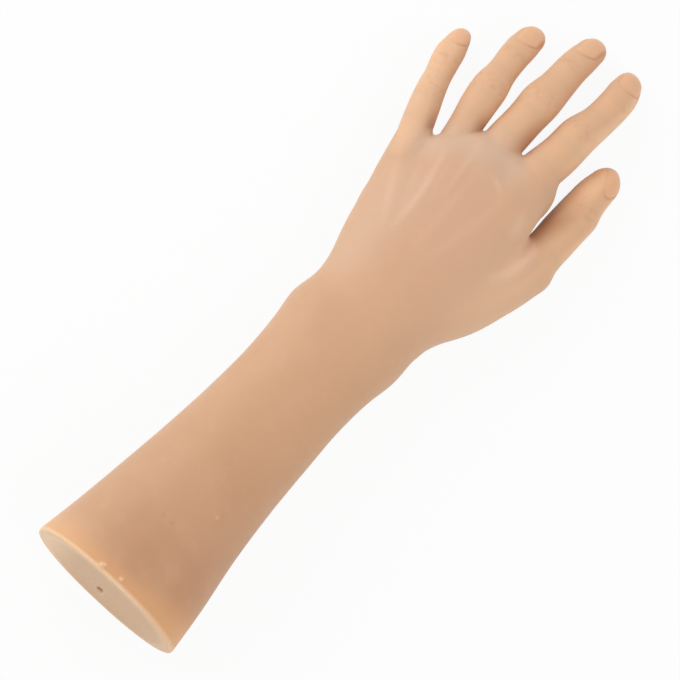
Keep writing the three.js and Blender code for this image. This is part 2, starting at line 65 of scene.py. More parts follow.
# All shapes are worked out in millimetres and put into the meshes in metres. X runs across the arm
# towards the thumb, which is the right side, Y from the cut to the fingertips, and Z up.
MM = 0.001
JOINTS = {joint["name"]: np.array(joint["pos_m"], float) / MM for joint in frame["joints"]}
NODES = frame["nodes"]

# Forearm and palm: distance from the cut, then reach to the left, right, top and bottom.
ARM_SECTIONS = (
    (0.0, 44.2, 44.2, 37.0, 37.0),
    (25.0, 40.6, 41.2, 33.6, 37.0),
    (55.0, 37.1, 36.5, 28.6, 36.8),
    (86.0, 33.9, 33.4, 22.6, 36.5),
    (117.0, 31.6, 31.7, 17.6, 35.7),
    (140.0, 31.0, 30.8, 14.3, 34.8),
    (163.0, 32.3, 32.0, 11.8, 34.0),
    (178.0, 34.1, 34.3, 10.6, 33.6),
    (195.0, 31.9, 34.0, 9.5, 33.5),
    (212.0, 34.5, 34.9, 10.0, 35.5),
    (230.0, 38.8, 36.0, 10.0, 35.5),
    (255.0, 43.4, 36.5, 8.5, 32.5),
    (280.0, 47.7, 37.5, 5.0, 29.0),
    (300.0, 50.3, 38.5, 0.0, 25.0),
    (313.0, 50.3, 39.0, -5.0, 21.0),
)
# How square the section is, where 2 is an ellipse, and where the palm ends in a round edge of that length.
ARM_POWER = 2.15
PALM_END = 313.0
PALM_CAP = 9.0
# Where the palm ends between and under the fingers: place across, distance from the cut.
KNUCKLE_LINE = (
    (-56.0, 282.0), (-46.5, 287.0), (-40.0, 292.5), (-36.2, 290.3), (-32.6, 294.5), (-28.0, 298.0),
    (-16.5, 309.2), (-7.9, 309.0), (4.5, 311.0), (15.5, 310.5), (27.5, 305.0), (31.6, 297.0),
    (33.7, 287.0), (38.0, 272.5),
)
# The stretch over which the palm's rows fan back to that line, and the lift of its thumb side.
FAN_START, FAN_END = 200.0, 290.0
PALM_LIFT = 3.0
PALM_LIFT_ACROSS = (5.0, 36.0)
# Close to a form's centre, distances along a ray are taken at this share of its reach.
LEAST_SHARE = 0.05

# The cut end: the skin's wall round the core, the pocket that the core fills, and their round edges.
SKIN_WALL = 3.5
POCKET_DEPTH = 14.0
RIM_ROUNDING = 1.4
POCKET_ROUNDING = 0.4
# The core: its gap to the wall, its depth, how far its face stands proud and laps over the wall's edge,
# how far that lap is lifted, and its rings and spokes.
CORE_GAP = 0.05
CORE_DEPTH = 13.0
CORE_PROUD = 0.06
CORE_LAP = 0.8
CORE_LIFT = 0.01
CORE_SHARP = math.radians(40.0)
FACE_RINGS = 24
SPOKES = 96
# The search for the pocket's outline: first reach, share of the distance that a round goes, and rounds.
OUTLINE_START, OUTLINE_STEP, OUTLINE_ROUNDS = 20.0, 0.8, 40
# The core's pit, an oval: place, half width, height over width, depth, its rings and its floor as shares
# of the oval, and how steep its wall is.
PIT_ACROSS, PIT_HEIGHT = -2.5, -5.5
PIT_RADIUS, PIT_STRETCH, PIT_DEPTH = 1.8, 2.8, 8.0
PIT_RINGS = (0.3, 0.6, 0.8, 0.95, 1.1, 1.3, 1.6, 2.0, 2.6)
PIT_FLOOR = 0.55
PIT_WALL = 14.0
# The lip on the pit's right side: height, place and width as shares of the oval, and where it fades in.
LIP_HEIGHT, LIP_AT, LIP_WIDTH = 0.9, 1.45, 0.4
LIP_SIDE = (0.2, 0.9)

# Links of the digits, each with the joint that it turns on.
FINGER_LINKS = (("proximal", "knuckle"), ("middle", "middle_hinge"), ("tip", "end_hinge"))
THUMB_LINKS = (("proximal", "knuckle"), ("tip", "end_hinge"))

# Each finger: half widths at its root, waist, middle joint, second waist, end joint, nail fold and nail;
# sway, how far its two waists stand to the right of the line between their joints; the place of its tip;
# aside, how far its root and the rest of its line stand to the right of its hinges; length, half width,
# slant and roundness of its nail; how many degrees the nail is turned to the right; and how far past its
# knuckle its piece begins.
FINGERS = {
    "index": {
        "widths": (11.3, 10.8, 10.5, 9.1, 9.0, 8.9, 7.9), "sway": (0.5, 0.8), "tip": (19.1, 391.2, -31.9),
        "aside": (0.0, 0.4), "nail": (13.8, 6.9, 0.2, 0.16), "nail_turn": 8.0, "cut": 3.0,
    },
    "middle": {
        "widths": (10.5, 10.2, 10.7, 9.3, 8.7, 8.4, 7.7), "sway": (0.1, 0.3), "tip": (-5.9, 392.1, -32.4),
        "aside": (0.0, 0.1), "nail": (16.6, 5.7, 0.28, 0.12), "nail_turn": -11.0, "cut": 3.0,
    },
    "ring": {
        "widths": (8.6, 9.5, 9.6, 8.0, 8.1, 8.2, 7.6), "sway": (-0.1, 0.0), "tip": (-33.8, 373.7, -30.3),
        "aside": (0.4, 0.0), "nail": (15.6, 6.2, 0.24, 0.12), "nail_turn": 0.0, "cut": 6.0,
    },
    "little": {
        "widths": (8.5, 8.2, 7.7, 7.2, 7.6, 7.5, 6.2), "sway": (0.0, 0.0), "tip": (-61.7, 346.8, -31.5),
        "aside": (0.5, 0.3), "nail": (12.6, 5.8, 0.2, 0.18), "nail_turn": 6.0, "cut": 2.0,
    },
}
# A finger starts this far behind its knuckle, at this share of its root's width.
FINGER_BACK = 20.0
BACK_WIDTH_SHARE = 0.95
# Height above and depth below a finger's line at the same places, as shares of the half widths.
DORSAL_SHARES = (0.95, 0.92, 0.95, 0.92, 0.92, 0.86, 0.80)
PALMAR_SHARES = (0.95, 0.95, 0.93, 0.95, 0.92, 0.98, 0.96)
# Where the first waist lies between knuckle and middle joint, and fold and nail between end joint and tip.
WAIST_AT = 0.6
NAIL_FOLD_AT, NAIL_AT = 0.35, 0.65
# Length of a finger's round end, and how much longer that of any digit is at the pulp and at the nail.
TIP_CAP = 9.5
PULP_CAP = 2.0
NAIL_CAP = -3.0
# A digit is left out of the sums for rows further than this behind its line.
DIGIT_MARGIN = 20.0

# Thumb: place across, along and in height of its line, with half width and half depth.
THUMB_LINE = (
    (17.0, 205.0, -14.0, 13.0, 13.0),
    (31.3, 226.0, -16.0, 13.8, 13.8),
    (39.2, 247.0, -17.5, 13.3, 13.5),
    (44.0, 268.0, -18.5, 13.1, 12.5),
    (45.0, 281.0, -19.0, 11.5, 11.0),
    (45.0, 298.0, -20.2, 11.7, 10.6),
    (44.9, 315.0, -22.2, 11.4, 10.4),
    (44.3, 325.0, -24.2, 10.2, 9.2),
    (44.8, 335.0, -26.6, 8.8, 8.2),
    (45.2, 345.0, -28.6, 7.4, 7.2),
)
# Its round end, how far it rolls to the side and between which places, and its nail and cut as on a finger.
THUMB_CAP = 10.0
THUMB_ROLL = math.radians(28.0)
THUMB_ROLL_FROM, THUMB_ROLL_TO = 276.0, 312.0
THUMB_NAIL = (16.0, 8.8, -0.1, 0.85)
THUMB_CUT = 4.0

# How widely neighbouring forms flow into each other. The web's fillet narrows at the hand's left edge,
# and the thumb's where its gap to the palm opens.
FINGER_FILLET = 1.2
WEB_FILLET, EDGE_FILLET = 3.6, 2.0
EDGE_ACROSS = (-44.0, -50.0)
PAD_FILLET = 9.0
THUMB_FILLET, THUMB_GAP_FILLET = 10.0, 1.0
THUMB_GAP_ALONG = (278.0, 289.0)

# Pads of the palm: centre and reach each way. Rows of the grid that end before PADS_FROM have none.
PADS = (
    ((-24.0, 240.0, -21.5), (13.0, 34.0, 15.0)),
    ((20.0, 240.0, -21.5), (16.0, 31.0, 15.0)),
    ((22.2, 297.0, -12.5), (10.3, 17.5, 8.5)),
    ((38.5, 270.0, -11.5), (6.5, 10.0, 5.5)),
)
PADS_FROM = 180.0

# Cells of the field's grid, how far it stands round the hand, and how many rows are worked out at once.
CELL = 0.86
CELL_AT_CUT = 1.2
CELL_ON_FOREARM = 2.5
CUT_ZONE_END = 64.0
FOREARM_END = 190.0
GRID_MARGIN = 3.0
SLAB = 24
# Points settle onto the surface by steps of this at most, over slopes that count as this at least.
LONGEST_PUSH = 0.6
LEAST_SLOPE = 0.2
# A point passes from the arm to a digit as the digit gets nearer than the arm by these distances.
BELONGS = (-1.5, 3.0)

# How far along a joint the skin bends.
KNUCKLE_BEND = 14.0
THUMB_BEND = 16.0
JOINT_BEND = 6.0
END_BEND = 5.0

# The sides of the hand begin and end at these upright parts of the normal.
HAND_SIDE = (0.1, 0.6)
# Back of the hand: bone ends and hollows, as place, height and radius.
BACK_LUMPS = (
    ((13.5, 288.0), 1.1, 8.0), ((-7.5, 291.0), 1.2, 8.0), ((-26.0, 282.0), 1.0, 7.5),
    ((-43.0, 267.0), 0.9, 8.0), ((3.0, 297.0), -0.8, 5.5), ((-17.0, 293.0), -0.8, 5.5),
    ((-35.0, 279.0), -0.9, 5.0), ((-22.0, 177.0), 1.5, 11.0), ((20.0, 180.0), 0.9, 10.0),
    ((31.0, 272.0), -0.8, 8.0),
)
# Tendons, veins and hollows of the back, as path, height and width.
BACK_CORDS = (
    (((-26.5, 287.0), (-24.3, 275.8), (-20.6, 258.0), (-19.2, 243.0), (-18.6, 228.0)), 0.45, 2.0),
    (((-34.0, 276.0), (-30.5, 261.0), (-26.5, 250.0), (-22.0, 238.0)), -0.40, 2.6),
    (((-22.0, 281.0), (-19.5, 266.0), (-16.0, 252.0)), -0.25, 2.0),
    (((-15.3, 301.0), (-13.5, 279.0), (-10.0, 258.0)), 0.26, 1.8),
    (((-7.5, 290.0), (-6.0, 262.0), (-3.0, 222.0)), 0.16, 2.6),
    (((13.5, 288.0), (10.0, 262.0), (3.0, 224.0)), 0.16, 2.6),
    (((-43.0, 268.0), (-34.0, 250.0), (-22.0, 228.0)), 0.26, 2.2),
    (((-1.0, 289.5), (4.5, 287.5), (10.5, 284.0)), 0.32, 1.6),
    (((25.0, 288.0), (26.5, 280.0), (28.5, 270.0)), 0.40, 3.0),
    (((34.5, 282.0), (38.0, 276.0), (38.5, 270.0)), -0.50, 1.5),
    (((33.0, 247.0), (39.5, 262.0), (41.5, 280.0)), 0.60, 2.4),
    (((48.8, 286.0), (47.8, 275.0), (47.2, 265.0), (46.2, 256.0), (43.0, 247.0)), -1.25, 3.2),
    (((-35.5, 288.0), (-39.5, 280.0), (-42.0, 274.0)), -0.55, 1.6),
)
# Lines of the palm and creases of the wrist, as path, height and width.
PALM_CORDS = (
    (((-50.0, 263.0), (-26.0, 270.0), (-4.0, 281.0), (6.0, 296.0)), -0.7, 1.1),
    (((31.0, 271.0), (10.0, 264.0), (-14.0, 252.0), (-36.0, 240.0)), -0.7, 1.1),
    (((32.0, 272.0), (17.0, 263.0), (7.0, 246.0), (4.0, 225.0), (9.0, 208.0)), -0.8, 1.2),
    (((-27.0, 199.0), (0.0, 201.5), (27.0, 199.0)), -0.6, 1.0),
    (((-25.0, 194.0), (0.0, 195.5), (25.0, 194.0)), -0.4, 1.0),
)
# The hollow of the palm and the swellings round it, as place, height and radius.
PALM_LUMPS = (
    ((-5.0, 262.0), -4.5, 20.0), ((2.0, 236.0), -2.5, 9.0), ((16.0, 293.0), 1.5, 8.0),
    ((-7.0, 293.0), 1.5, 8.0), ((-27.0, 284.0), 1.5, 8.0), ((-42.0, 268.0), 1.2, 8.0),
    ((-41.5, 240.5), 3.0, 9.0),
)
# No cord or line lies before this place. Each is inset by a share of its path and tapers by a power.
CORDS_FROM = 185.0
CORD_INSET, CORD_TAPER = 0.05, 0.7
# Places in space, with height and radius: dark dents, a pale spot, a nick, flakes at the rim, and the
# bone at the thumb's knuckle.
DENTS = (((-4.2, 42.0, 31.0), -0.6, 1.3), ((1.5, 42.0, 31.0), -0.5, 1.2))
SPOT = ((15.5, 60.0, 25.0), 0.4, 1.0)
NICK = ((33.0, 89.0, -8.0), -0.6, 1.5)
FLAKES = (((-10.3, 2.6, 36.0), 1.3, 1.4), ((-8.8, 3.4, 36.2), 0.9, 1.1), ((1.6, 3.8, 36.6), 0.8, 1.1))
THUMB_BONE = ((58.0, 272.5, -16.0), 2.0, 7.0)

# The back, the palm side and the nail's side of a digit begin and end at these shares of its height.
DIGIT_BACK = (0.15, 0.65)
DIGIT_PALM = (0.25, 0.7)
NAIL_SIDE = (0.05, 0.35)
# Nails: the groove round the plate, the fold outside it, the plate itself and its tint. On the left the
# groove and fold, and the painted shade along the groove, keep only a share, which rises to 1 between two
# places across.
NAIL_GROOVE, NAIL_GROOVE_WIDTH = 0.45, 0.85
NAIL_FOLD, NAIL_FOLD_WIDTH, NAIL_FOLD_OUT = 0.22, 1.4, 1.5
NAIL_PLATE, NAIL_PLATE_INSET = 0.10, (0.5, 2.0)
NAIL_TINT_INSET = (0.0, 0.8)
NAIL_LEFT_RELIEF, NAIL_RELIEF_ACROSS = 0.4, (-0.6, 0.7)
NAIL_LEFT_TINT, NAIL_TINT_ACROSS = 0.2, (-0.5, 0.8)
# The two joints of a digit past its knuckle: how far wrinkles reach, height of the knob, places of the
# creases on the palm side. A knob reaches further than its wrinkles, and stripes further still.
WRINKLE_REACH = (4.6, 3.2)
JOINT_KNOBS = (0.55, 0.275)
JOINT_CREASES = ((-1.6, 1.6), (0.0,))
KNOB_SPREAD = 1.3
STRIPE_SPREAD = 3.0
CREASE_DEPTH, CREASE_WIDTH = 0.6, 0.9
ROOT_CREASE = 10.0

# Painted light by the cut: where the rim's painted highlight and the painted glow behind it, light seen
# through the silicone, begin to fade and how far they reach, and how they change between two places across.
RIM_FROM, RIM_REACH = 0.7, 0.8
RIM_FADE, RIM_FADE_ACROSS = 0.35, (5.0, 40.0)
GLOW_FROM, GLOW_REACH, GLOW_SHARE = 1.0, 8.0, 0.8
GLOW_SPREAD, GLOW_GAIN, GLOW_ACROSS = 8.0, 0.3, (0.0, 40.0)
# Painted light at the ends of the cut: share, stretch across, place along and reach.
LIT_CUT_ENDS = ((0.55, (-14.0, -42.0), 2.0, 12.0), (0.35, (34.0, 44.0), 0.0, 9.0))
# The tints of dents, flakes and pale spot reach this far.
MARK_REACH = 0.9
SPOT_SHARE, SPOT_REACH = 0.4, 0.8
# The forearm darkens towards the cut, partly a deeper tone and partly painted shade, so less on its left,
# the side towards the key lamp, and its own tint ends at the wrist.
ELBOW_ALONG = (10.0, 130.0)
ELBOW_FADE, ELBOW_FADE_ACROSS = 0.8, (0.0, -36.0)
FOREARM_ALONG = (110.0, 235.0)

# Tints of the back of the hand, where the normal points up by these parts: a pale band behind the knuckles
# with its ends across, a pale strip on the left with its ends along, a pink middle and painted light on the
# thumb's root.
TINT_BACK = (0.1, 0.7)
BAND_BEHIND, BAND_WIDTH = 10.0, 13.0
BAND_LEFT, BAND_RIGHT = (-52.0, -38.0), (2.0, 20.0)
STRIP_SHARE, STRIP_ACROSS, STRIP_WIDTH = 0.5, -28.0, 13.0
STRIP_START, STRIP_END = (186.0, 206.0), (255.0, 280.0)
PINK_PLACE, PINK_STRETCH, PINK_REACH = (-4.0, 258.0), (1.1, 1.3), 26.0
# Painted light on the thumb's root: place, stretch and reach, and the parts of the normal, up and to the
# right towards the fill lamp, over which it fades in.
ROOT_PLACE, ROOT_STRETCH, ROOT_REACH = (44.0, 250.0), (1.0, 2.2), 18.0
ROOT_SIDE = (0.0, 0.6)
# A raised cord of this height shows the whole painted highlight along it.
FULL_CORD = 0.45

# Tints of the digits: where the fingers' warmth and the thumb's tint fade in along the hand.
WARM_ALONG = (285.0, 325.0)
THUMB_ALONG = (260.0, 300.0)
# Sides that catch the light: digit, share, stretch across the digit, stretch along the hand.
LIT_SIDES = (
    ("thumb", 1.0, (-0.1, -0.6), (312.0, 326.0)),
    ("thumb", 1.0, (0.3, 0.9), (266.0, 306.0)),
    ("index", 1.0, (0.2, 0.8), (315.0, 345.0)),
    ("little", 0.5, (0.55, -0.1), (200.0, 210.0)),
)
# Painted shadow on the thumb's side towards the palm, and painted shade on the right flanks of three
# fingers.
SHADE_ACROSS, SHADE_ALONG, SHADE_REACH = (0.05, -0.75), 297.0, 13.0
FLANKED = ("middle", "ring", "little")
FLANK_ACROSS = (0.35, 1.0)
# Painted shade in the webs: place and radius on the finger to the left of each, and the places of two on
# the palm.
WEBS = ((-40.0, 289.0, 7.0), (-20.5, 306.5, 7.0), (4.0, 319.0, 12.0))
WEB_ACROSS = (0.0, 0.8)
WEB_FLOORS = ((-41.2, 287.5), (-21.7, 305.0))
WEB_FLOOR_SHARE, WEB_FLOOR_REACH = 0.6, 3.5

# Silicone skin, as colours on a screen: hand, forearm, then each tint with its mask and share, in order.
# Some tints are painted light: the glow and highlight by the cut, and highlights along the tendons, on the
# thumb's root and on lit sides. Others are painted shade: partly on the forearm towards the cut, on finger
# flanks, in webs, on the thumb's side, in joint creases and along nail grooves.
HAND_TONE, FOREARM_TONE = (216, 173, 138), (211, 165, 127)
SKIN_TINTS = (
    ("elbow_tone_and_shade", 1.0, (193, 145, 109)),
    ("blotch", 0.2, (229, 181, 149)),
    ("root", 0.45, (245, 202, 165)),
    ("pink", 0.8, (219, 174, 144)),
    ("warm", 0.8, (230, 183, 144)),
    ("thumb", 0.7, (232, 182, 141)),
    ("pale", 0.8, (220, 185, 158)),
    ("mottle", 0.12, (234, 179, 146)),
    ("cord_highlight", 0.36, (241, 204, 175)),
    ("flank_shade", 0.4, (218, 154, 109)),
    ("web_shade", 0.52, (160, 92, 49)),
    ("shade", 0.45, (155, 94, 58)),
    ("lit", 0.6, (255, 207, 164)),
    # Painted shade in the joint wrinkles.
    ("crease", 0.30, (202, 151, 117)),
    ("nail", 0.7, (239, 185, 143)),
    ("nail_groove_shade", 0.5, (196, 126, 84)),
    ("glow", 0.65, (237, 178, 123)),
    ("rim_highlight_and_pale_marks", 0.9, (253, 213, 175)),
    ("dent", 0.35, (170, 122, 89)),
)
SKIN_ROUGHNESS, MOTTLE_ROUGHNESS, NAIL_POLISH = 0.52, 0.08, 0.12
# Heights of the skin's bump in millimetres, and the stripes over a joint: turn per millimetre and wander.
STRIPE_HEIGHT, WRINKLE_DEPTH, GRAIN_HEIGHT, PORE_HEIGHT = 0.08, 0.35, 0.05, 0.10
STRIPE_TURN, STRIPE_WANDER = 3.0, 14.0

# Silicone core: its two tones, its paler edge and the painted shade in its pit, and the shares of these
# tints.
CORE_DARK, CORE_LIGHT = (217, 179, 144), (225, 190, 156)
CORE_TINTS = (("peach", 0.9, (255, 219, 183)), ("pit_shade", 0.8, (160, 126, 81)))
# Where the core is peach: at its ends, as share and stretch across, at its edge, and on the pit's lip.
CORE_ENDS = ((0.9, (-16.0, -42.0)), (0.2, (22.0, 42.0)))
EDGE_SHARE, EDGE_RINGS = 0.4, (0.86, 1.0)
LIP_SHARE = 0.7
# The painted shade in the pit: between which depths it grows, and how many half heights of the pit it may
# reach.
SUNK_DEPTHS = (0.3, 2.5)
SUNK_REACH = 2.0

# Metals: tones as on a screen, darkest share of a tone, and how much the grain adds to the roughness.
ALUMINIUM_TONE, STEEL_TONE = (190, 192, 196), (170, 170, 172)
METAL_SHADE = 0.85
METAL_GRAIN_ROUGHNESS = 0.15
FASTENERS = ("pin", "rivet", "screw")

# Camera: place in millimetres, how steeply it looks down, how it is turned, and its lens.
CAMERA_PLACE = (0.0, -356.39, 2124.65)
CAMERA_ELEVATION = math.radians(76.0)
CAMERA_TURN = math.radians(43.0643)
SENSOR = 36.0
LENS = 232.94
CLIP_END = 20.0

# Lamps: name, place, target and size in metres, power in watts.
LAMPS = (
    ("key", (-0.80, 0.30, 0.45), (0, 0.15, 0), 0.8, 3.4),
    ("fill", (0.8, 0.1, 0.9), (0, 0.2, 0), 0.8, 2.35),
    ("front", (-0.5, -0.9, 0.5), (0, 0.0, 0), 0.6, 0.87),
)
WORLD_LIGHT = 0.66
# The background is white to these rays.
SEEN_RAYS = ("Is Camera Ray", "Is Glossy Ray", "Is Transmission Ray")
WHITE = (1.0, 1.0, 1.0, 1.0)
# Floor: half its side and its gap under the hand, its colour, and how white it is to those rays.
FLOOR_HALF = 4000.0
FLOOR_GAP = 0.05
FLOOR_COLOUR = (0.88, 0.88, 0.88, 1.0)
FLOOR_WHITE = 0.92


def smooth_curve(stations, values):
    """A curve through points: cubic pieces, whose slope at each point is that of its neighbours' chord."""
    x = np.asarray(stations, float)
    v = np.asarray(values, float)
    slope = np.gradient(v, x)

    def at(t):
        t = np.clip(t, x[0], x[-1])
        i = np.clip(np.searchsorted(x, t, side="right") - 1, 0, len(x) - 2)
        span = x[i + 1] - x[i]
        u = (t - x[i]) / span
        start = (2 * u ** 3 - 3 * u ** 2 + 1) * v[i] + (u ** 3 - 2 * u ** 2 + u) * span * slope[i]
        end = (3 * u ** 2 - 2 * u ** 3) * v[i + 1] + (u ** 3 - u ** 2) * span * slope[i + 1]
        return start + end

    return at


def rise(low, high, t):
    """Goes from 0 at low to 1 at high with level ends."""
    u = np.clip((t - low) / (high - low), 0.0, 1.0)
    return u * u * (3 - 2 * u)


def bell(distance, width):
    """1 at distance 0, falling away as a bell curve of that width."""
    return np.exp(-(distance / width) ** 2)


def soft_union(a, b, fillet):
    """The lesser of two distances, with a round fillet where they are alike."""
    share = np.clip(0.5 + 0.5 * (b - a) / fillet, 0.0, 1.0)
    return b + (a - b) * share - fillet * share * (1 - share)


def soft_cut(a, b, rounding):
    """The greater of two distances, with a rounded edge where they are alike."""
    return -soft_union(-a, -b, rounding)


arm_left, arm_right, arm_top, arm_bottom = (
    smooth_curve([row[0] for row in ARM_SECTIONS], [row[column] for row in ARM_SECTIONS])
    for column in range(1, 5)
)
knuckle_line = smooth_curve([p[0] for p in KNUCKLE_LINE], [p[1] for p in KNUCKLE_LINE])


def arm_distance(x, y, z):
    """Forearm and palm: a rounded section whose reach changes along the arm. The palm's rows fan back
    towards its sides, so that it ends along the knuckle line, in a round edge."""
    along = y + (PALM_END - knuckle_line(x)) * rise(FAN_START, FAN_END, y)
    top, bottom = arm_top(along), arm_bottom(along)
    lift = PALM_LIFT * rise(*PALM_LIFT_ACROSS, x) * rise(FAN_START, FAN_END, y)
    height = z - (top - bottom) / 2 - lift
    reach = np.where(x < 0, arm_left(along), arm_right(along))
    past = np.maximum(along - (PALM_END - PALM_CAP), 0.0)
    across = np.abs(x) / reach
    upright = np.abs(height) / ((top + bottom) / 2)
    share = (across ** ARM_POWER + upright ** ARM_POWER + (past / PALM_CAP) ** ARM_POWER) ** (1 / ARM_POWER)
    radius = np.sqrt(x * x + height * height + past * past)
    return radius * (share - 1) / np.maximum(share, LEAST_SHARE)


def pad_distance(x, y, z, centre, reach):
    """An ellipsoid, measured along the ray from its centre."""
    dx, dy, dz = x - centre[0], y - centre[1], z - centre[2]
    share = np.sqrt((dx / reach[0]) ** 2 + (dy / reach[1]) ** 2 + (dz / reach[2]) ** 2)
    return np.sqrt(dx * dx + dy * dy + dz * dz) * (share - 1) / np.maximum(share, LEAST_SHARE)


def with_pads(body, x, y, z):
    """Joins the pads of the palm to a distance."""
    for centre, reach in PADS:
        body = soft_union(body, pad_distance(x, y, z, centre, reach), PAD_FILLET)
    return body


class Digit:
    """A finger or thumb: an oval section carried along a line that bends in height and sideways."""

    def __init__(self, name, points, widths, dorsal, palmar, cap, roll):
        points = np.asarray(points, float)
        self.name = name
        self.start = points[0, :2]
        run = points[-1, :2] - self.start
        self.length = np.linalg.norm(run)
        self.forward = run / self.length
        self.side = np.array([self.forward[1], -self.forward[0]])
        along = (points[:, :2] - self.start) @ self.forward
        self.middle = smooth_curve(along, (points[:, :2] - self.start) @ self.side)
        self.height = smooth_curve(along, points[:, 2])
        self.width = smooth_curve(*widths)
        self.dorsal = smooth_curve(*dorsal)
        self.palmar = smooth_curve(*palmar)
        self.cap = cap
        self.roll = roll
        self.low_y = points[:, 1].min() - DIGIT_MARGIN

    def place(self, x, y, z):
        """Distance along the digit, across it and above its line, the last two turned by the roll."""
        dx, dy = x - self.start[0], y - self.start[1]
        along = dx * self.forward[0] + dy * self.forward[1]
        across = dx * self.side[0] + dy * self.side[1] - self.middle(along)
        above = z - self.height(along)
        turn = self.roll(along)
        cosine, sine = np.cos(turn), np.sin(turn)
        return along, across * cosine - above * sine, across * sine + above * cosine

    def depth(self, along, above):
        """How far the oval reaches on the side of its line that a point lies on."""
        return np.where(above > 0, self.dorsal(along), self.palmar(along))

    def distance(self, x, y, z):
        """The oval's distance along the ray from the line, with round ends."""
        along, across, above = self.place(x, y, z)
        depth = self.depth(along, above)
        upper = np.clip(above / depth, -1.0, 1.0)
        cap = self.cap + np.where(upper > 0, NAIL_CAP, -PULP_CAP) * upper
        past = np.maximum(along - (self.length - cap), 0.0)
        before = np.minimum(along, 0.0)
        share = np.sqrt(
            (across / self.width(along)) ** 2 + (above / depth) ** 2 + ((past + before) / cap) ** 2
        )
        radius = np.sqrt(across ** 2 + above ** 2 + past ** 2 + before ** 2)
        return radius * (share - 1) / np.maximum(share, LEAST_SHARE)


def finger(name):
    """A finger along its three hinges, from inside the palm to its tip."""
    shape = FINGERS[name]
    knuckle, middle, end = (JOINTS[f"{name}_{joint}"] for _, joint in FINGER_LINKS)
    back = knuckle + (knuckle - middle) / np.linalg.norm(knuckle - middle) * FINGER_BACK
    waist = (knuckle + middle) / 2 + np.array([shape["sway"][0], 0, 0])
    second_waist = (middle + end) / 2 + np.array([shape["sway"][1], 0, 0])
    points = np.array([back, knuckle, waist, middle, second_waist, end, shape["tip"]])
    points[:2, 0] += shape["aside"][0]
    points[2:-1, 0] += shape["aside"][1]
    run = points[-1, :2] - points[0, :2]
    root, _, first, _, second, last = (points[1:, :2] - points[0, :2]) @ (run / np.linalg.norm(run))
    tip_length = last - second
    stations = (
        0.0, root, root + WAIST_AT * (first - root), first, (first + second) / 2, second,
        second + NAIL_FOLD_AT * tip_length, second + NAIL_AT * tip_length, last,
    )
    turn = math.radians(shape["nail_turn"])
    widths = np.array(shape["widths"])
    widths = np.concatenate([[widths[0] * BACK_WIDTH_SHARE], widths, [widths[-1]]])
    dorsal, palmar = (widths * np.array([s[0], *s, s[-1]]) for s in (DORSAL_SHARES, PALMAR_SHARES))
    digit = Digit(
        name, points, (stations, widths), (stations, dorsal), (stations, palmar),
        TIP_CAP, lambda along: turn * rise(first, second, along),
    )
    digit.links, digit.hinges = FINGER_LINKS, (root, first, second)
    digit.cut, digit.bend = shape["cut"], KNUCKLE_BEND
    digit.nail = shape["nail"]
    return digit


def thumb():
    """The thumb with its root, whose nail turns to the side."""
    line = np.array(THUMB_LINE)
    run = line[-1, :2] - line[0, :2]
    stations = (line[:, :2] - line[0, :2]) @ (run / np.linalg.norm(run))
    at_y = smooth_curve(line[:, 1], stations)
    low, high = at_y(THUMB_ROLL_FROM), at_y(THUMB_ROLL_TO)
    digit = Digit(
        "thumb", line[:, :3], (stations, line[:, 3]), (stations, line[:, 4]), (stations, line[:, 4]),
        THUMB_CAP, lambda along: THUMB_ROLL * rise(low, high, along),
    )
    digit.links = THUMB_LINKS
    digit.hinges = tuple(at_y(JOINTS[f"thumb_{joint}"][1]) for _, joint in THUMB_LINKS)
    digit.cut, digit.bend = THUMB_CUT, THUMB_BEND
    digit.nail = THUMB_NAIL
    return digit


DIGITS = {name: finger(name) for name in FINGERS}
DIGITS["thumb"] = thumb()


def casting_distance(x, y, z):
    """The whole casting: fingers joined to the palm, palm to its pads and thumb, cut flat and pocketed."""
    arm = arm_distance(x, y, z)
    body = arm
    top_y = np.max(y)
    if top_y > PADS_FROM:
        body = with_pads(arm, x, y, z)
    near = [DIGITS[name] for name in FINGERS if top_y > DIGITS[name].low_y]
    if near:
        fingers = near[0].distance(x, y, z)
        for digit in near[1:]:
            fingers = soft_union(fingers, digit.distance(x, y, z), FINGER_FILLET)
        fillet = WEB_FILLET + (EDGE_FILLET - WEB_FILLET) * rise(*EDGE_ACROSS, x)
        body = soft_union(body, fingers, fillet)
    if top_y > DIGITS["thumb"].low_y:
        fillet = THUMB_FILLET + (THUMB_GAP_FILLET - THUMB_FILLET) * rise(*THUMB_GAP_ALONG, y)
        body = soft_union(body, DIGITS["thumb"].distance(x, y, z), fillet)
    if np.min(y) < POCKET_DEPTH + CELL_ON_FOREARM * 2:
        body = soft_cut(body, -y, RIM_ROUNDING)
        pocket = np.maximum(arm + SKIN_WALL, y - POCKET_DEPTH)
        body = soft_cut(body, -pocket, POCKET_ROUNDING)
    return body


def grid_lines():
    """Lines of the grid: close together on the hand and at the cut, wider along the forearm."""
    low = np.array(cad_low) / MM - GRID_MARGIN
    high = np.array(cad_high) / MM + GRID_MARGIN
    xs = np.arange(low[0], high[0] + CELL, CELL)
    zs = np.arange(low[2], high[2] + CELL, CELL)
    ys = np.concatenate([
        np.arange(-GRID_MARGIN, CUT_ZONE_END, CELL_AT_CUT),
        np.arange(CUT_ZONE_END, FOREARM_END, CELL_ON_FOREARM),
        np.arange(FOREARM_END, high[1] + CELL, CELL),
    ])
    return xs, ys, zs


def sample_grid(xs, ys, zs):
    """The casting's distance at each grid point, worked out in slabs along the arm."""
    values = np.empty((len(xs), len(ys), len(zs)), np.float32)
    x, z = xs[:, None, None], zs[None, None, :]
    for first in range(0, len(ys), SLAB):
        rows = ys[first:first + SLAB]
        values[:, first:first + SLAB] = casting_distance(x, rows[None, :, None], z)
    return values


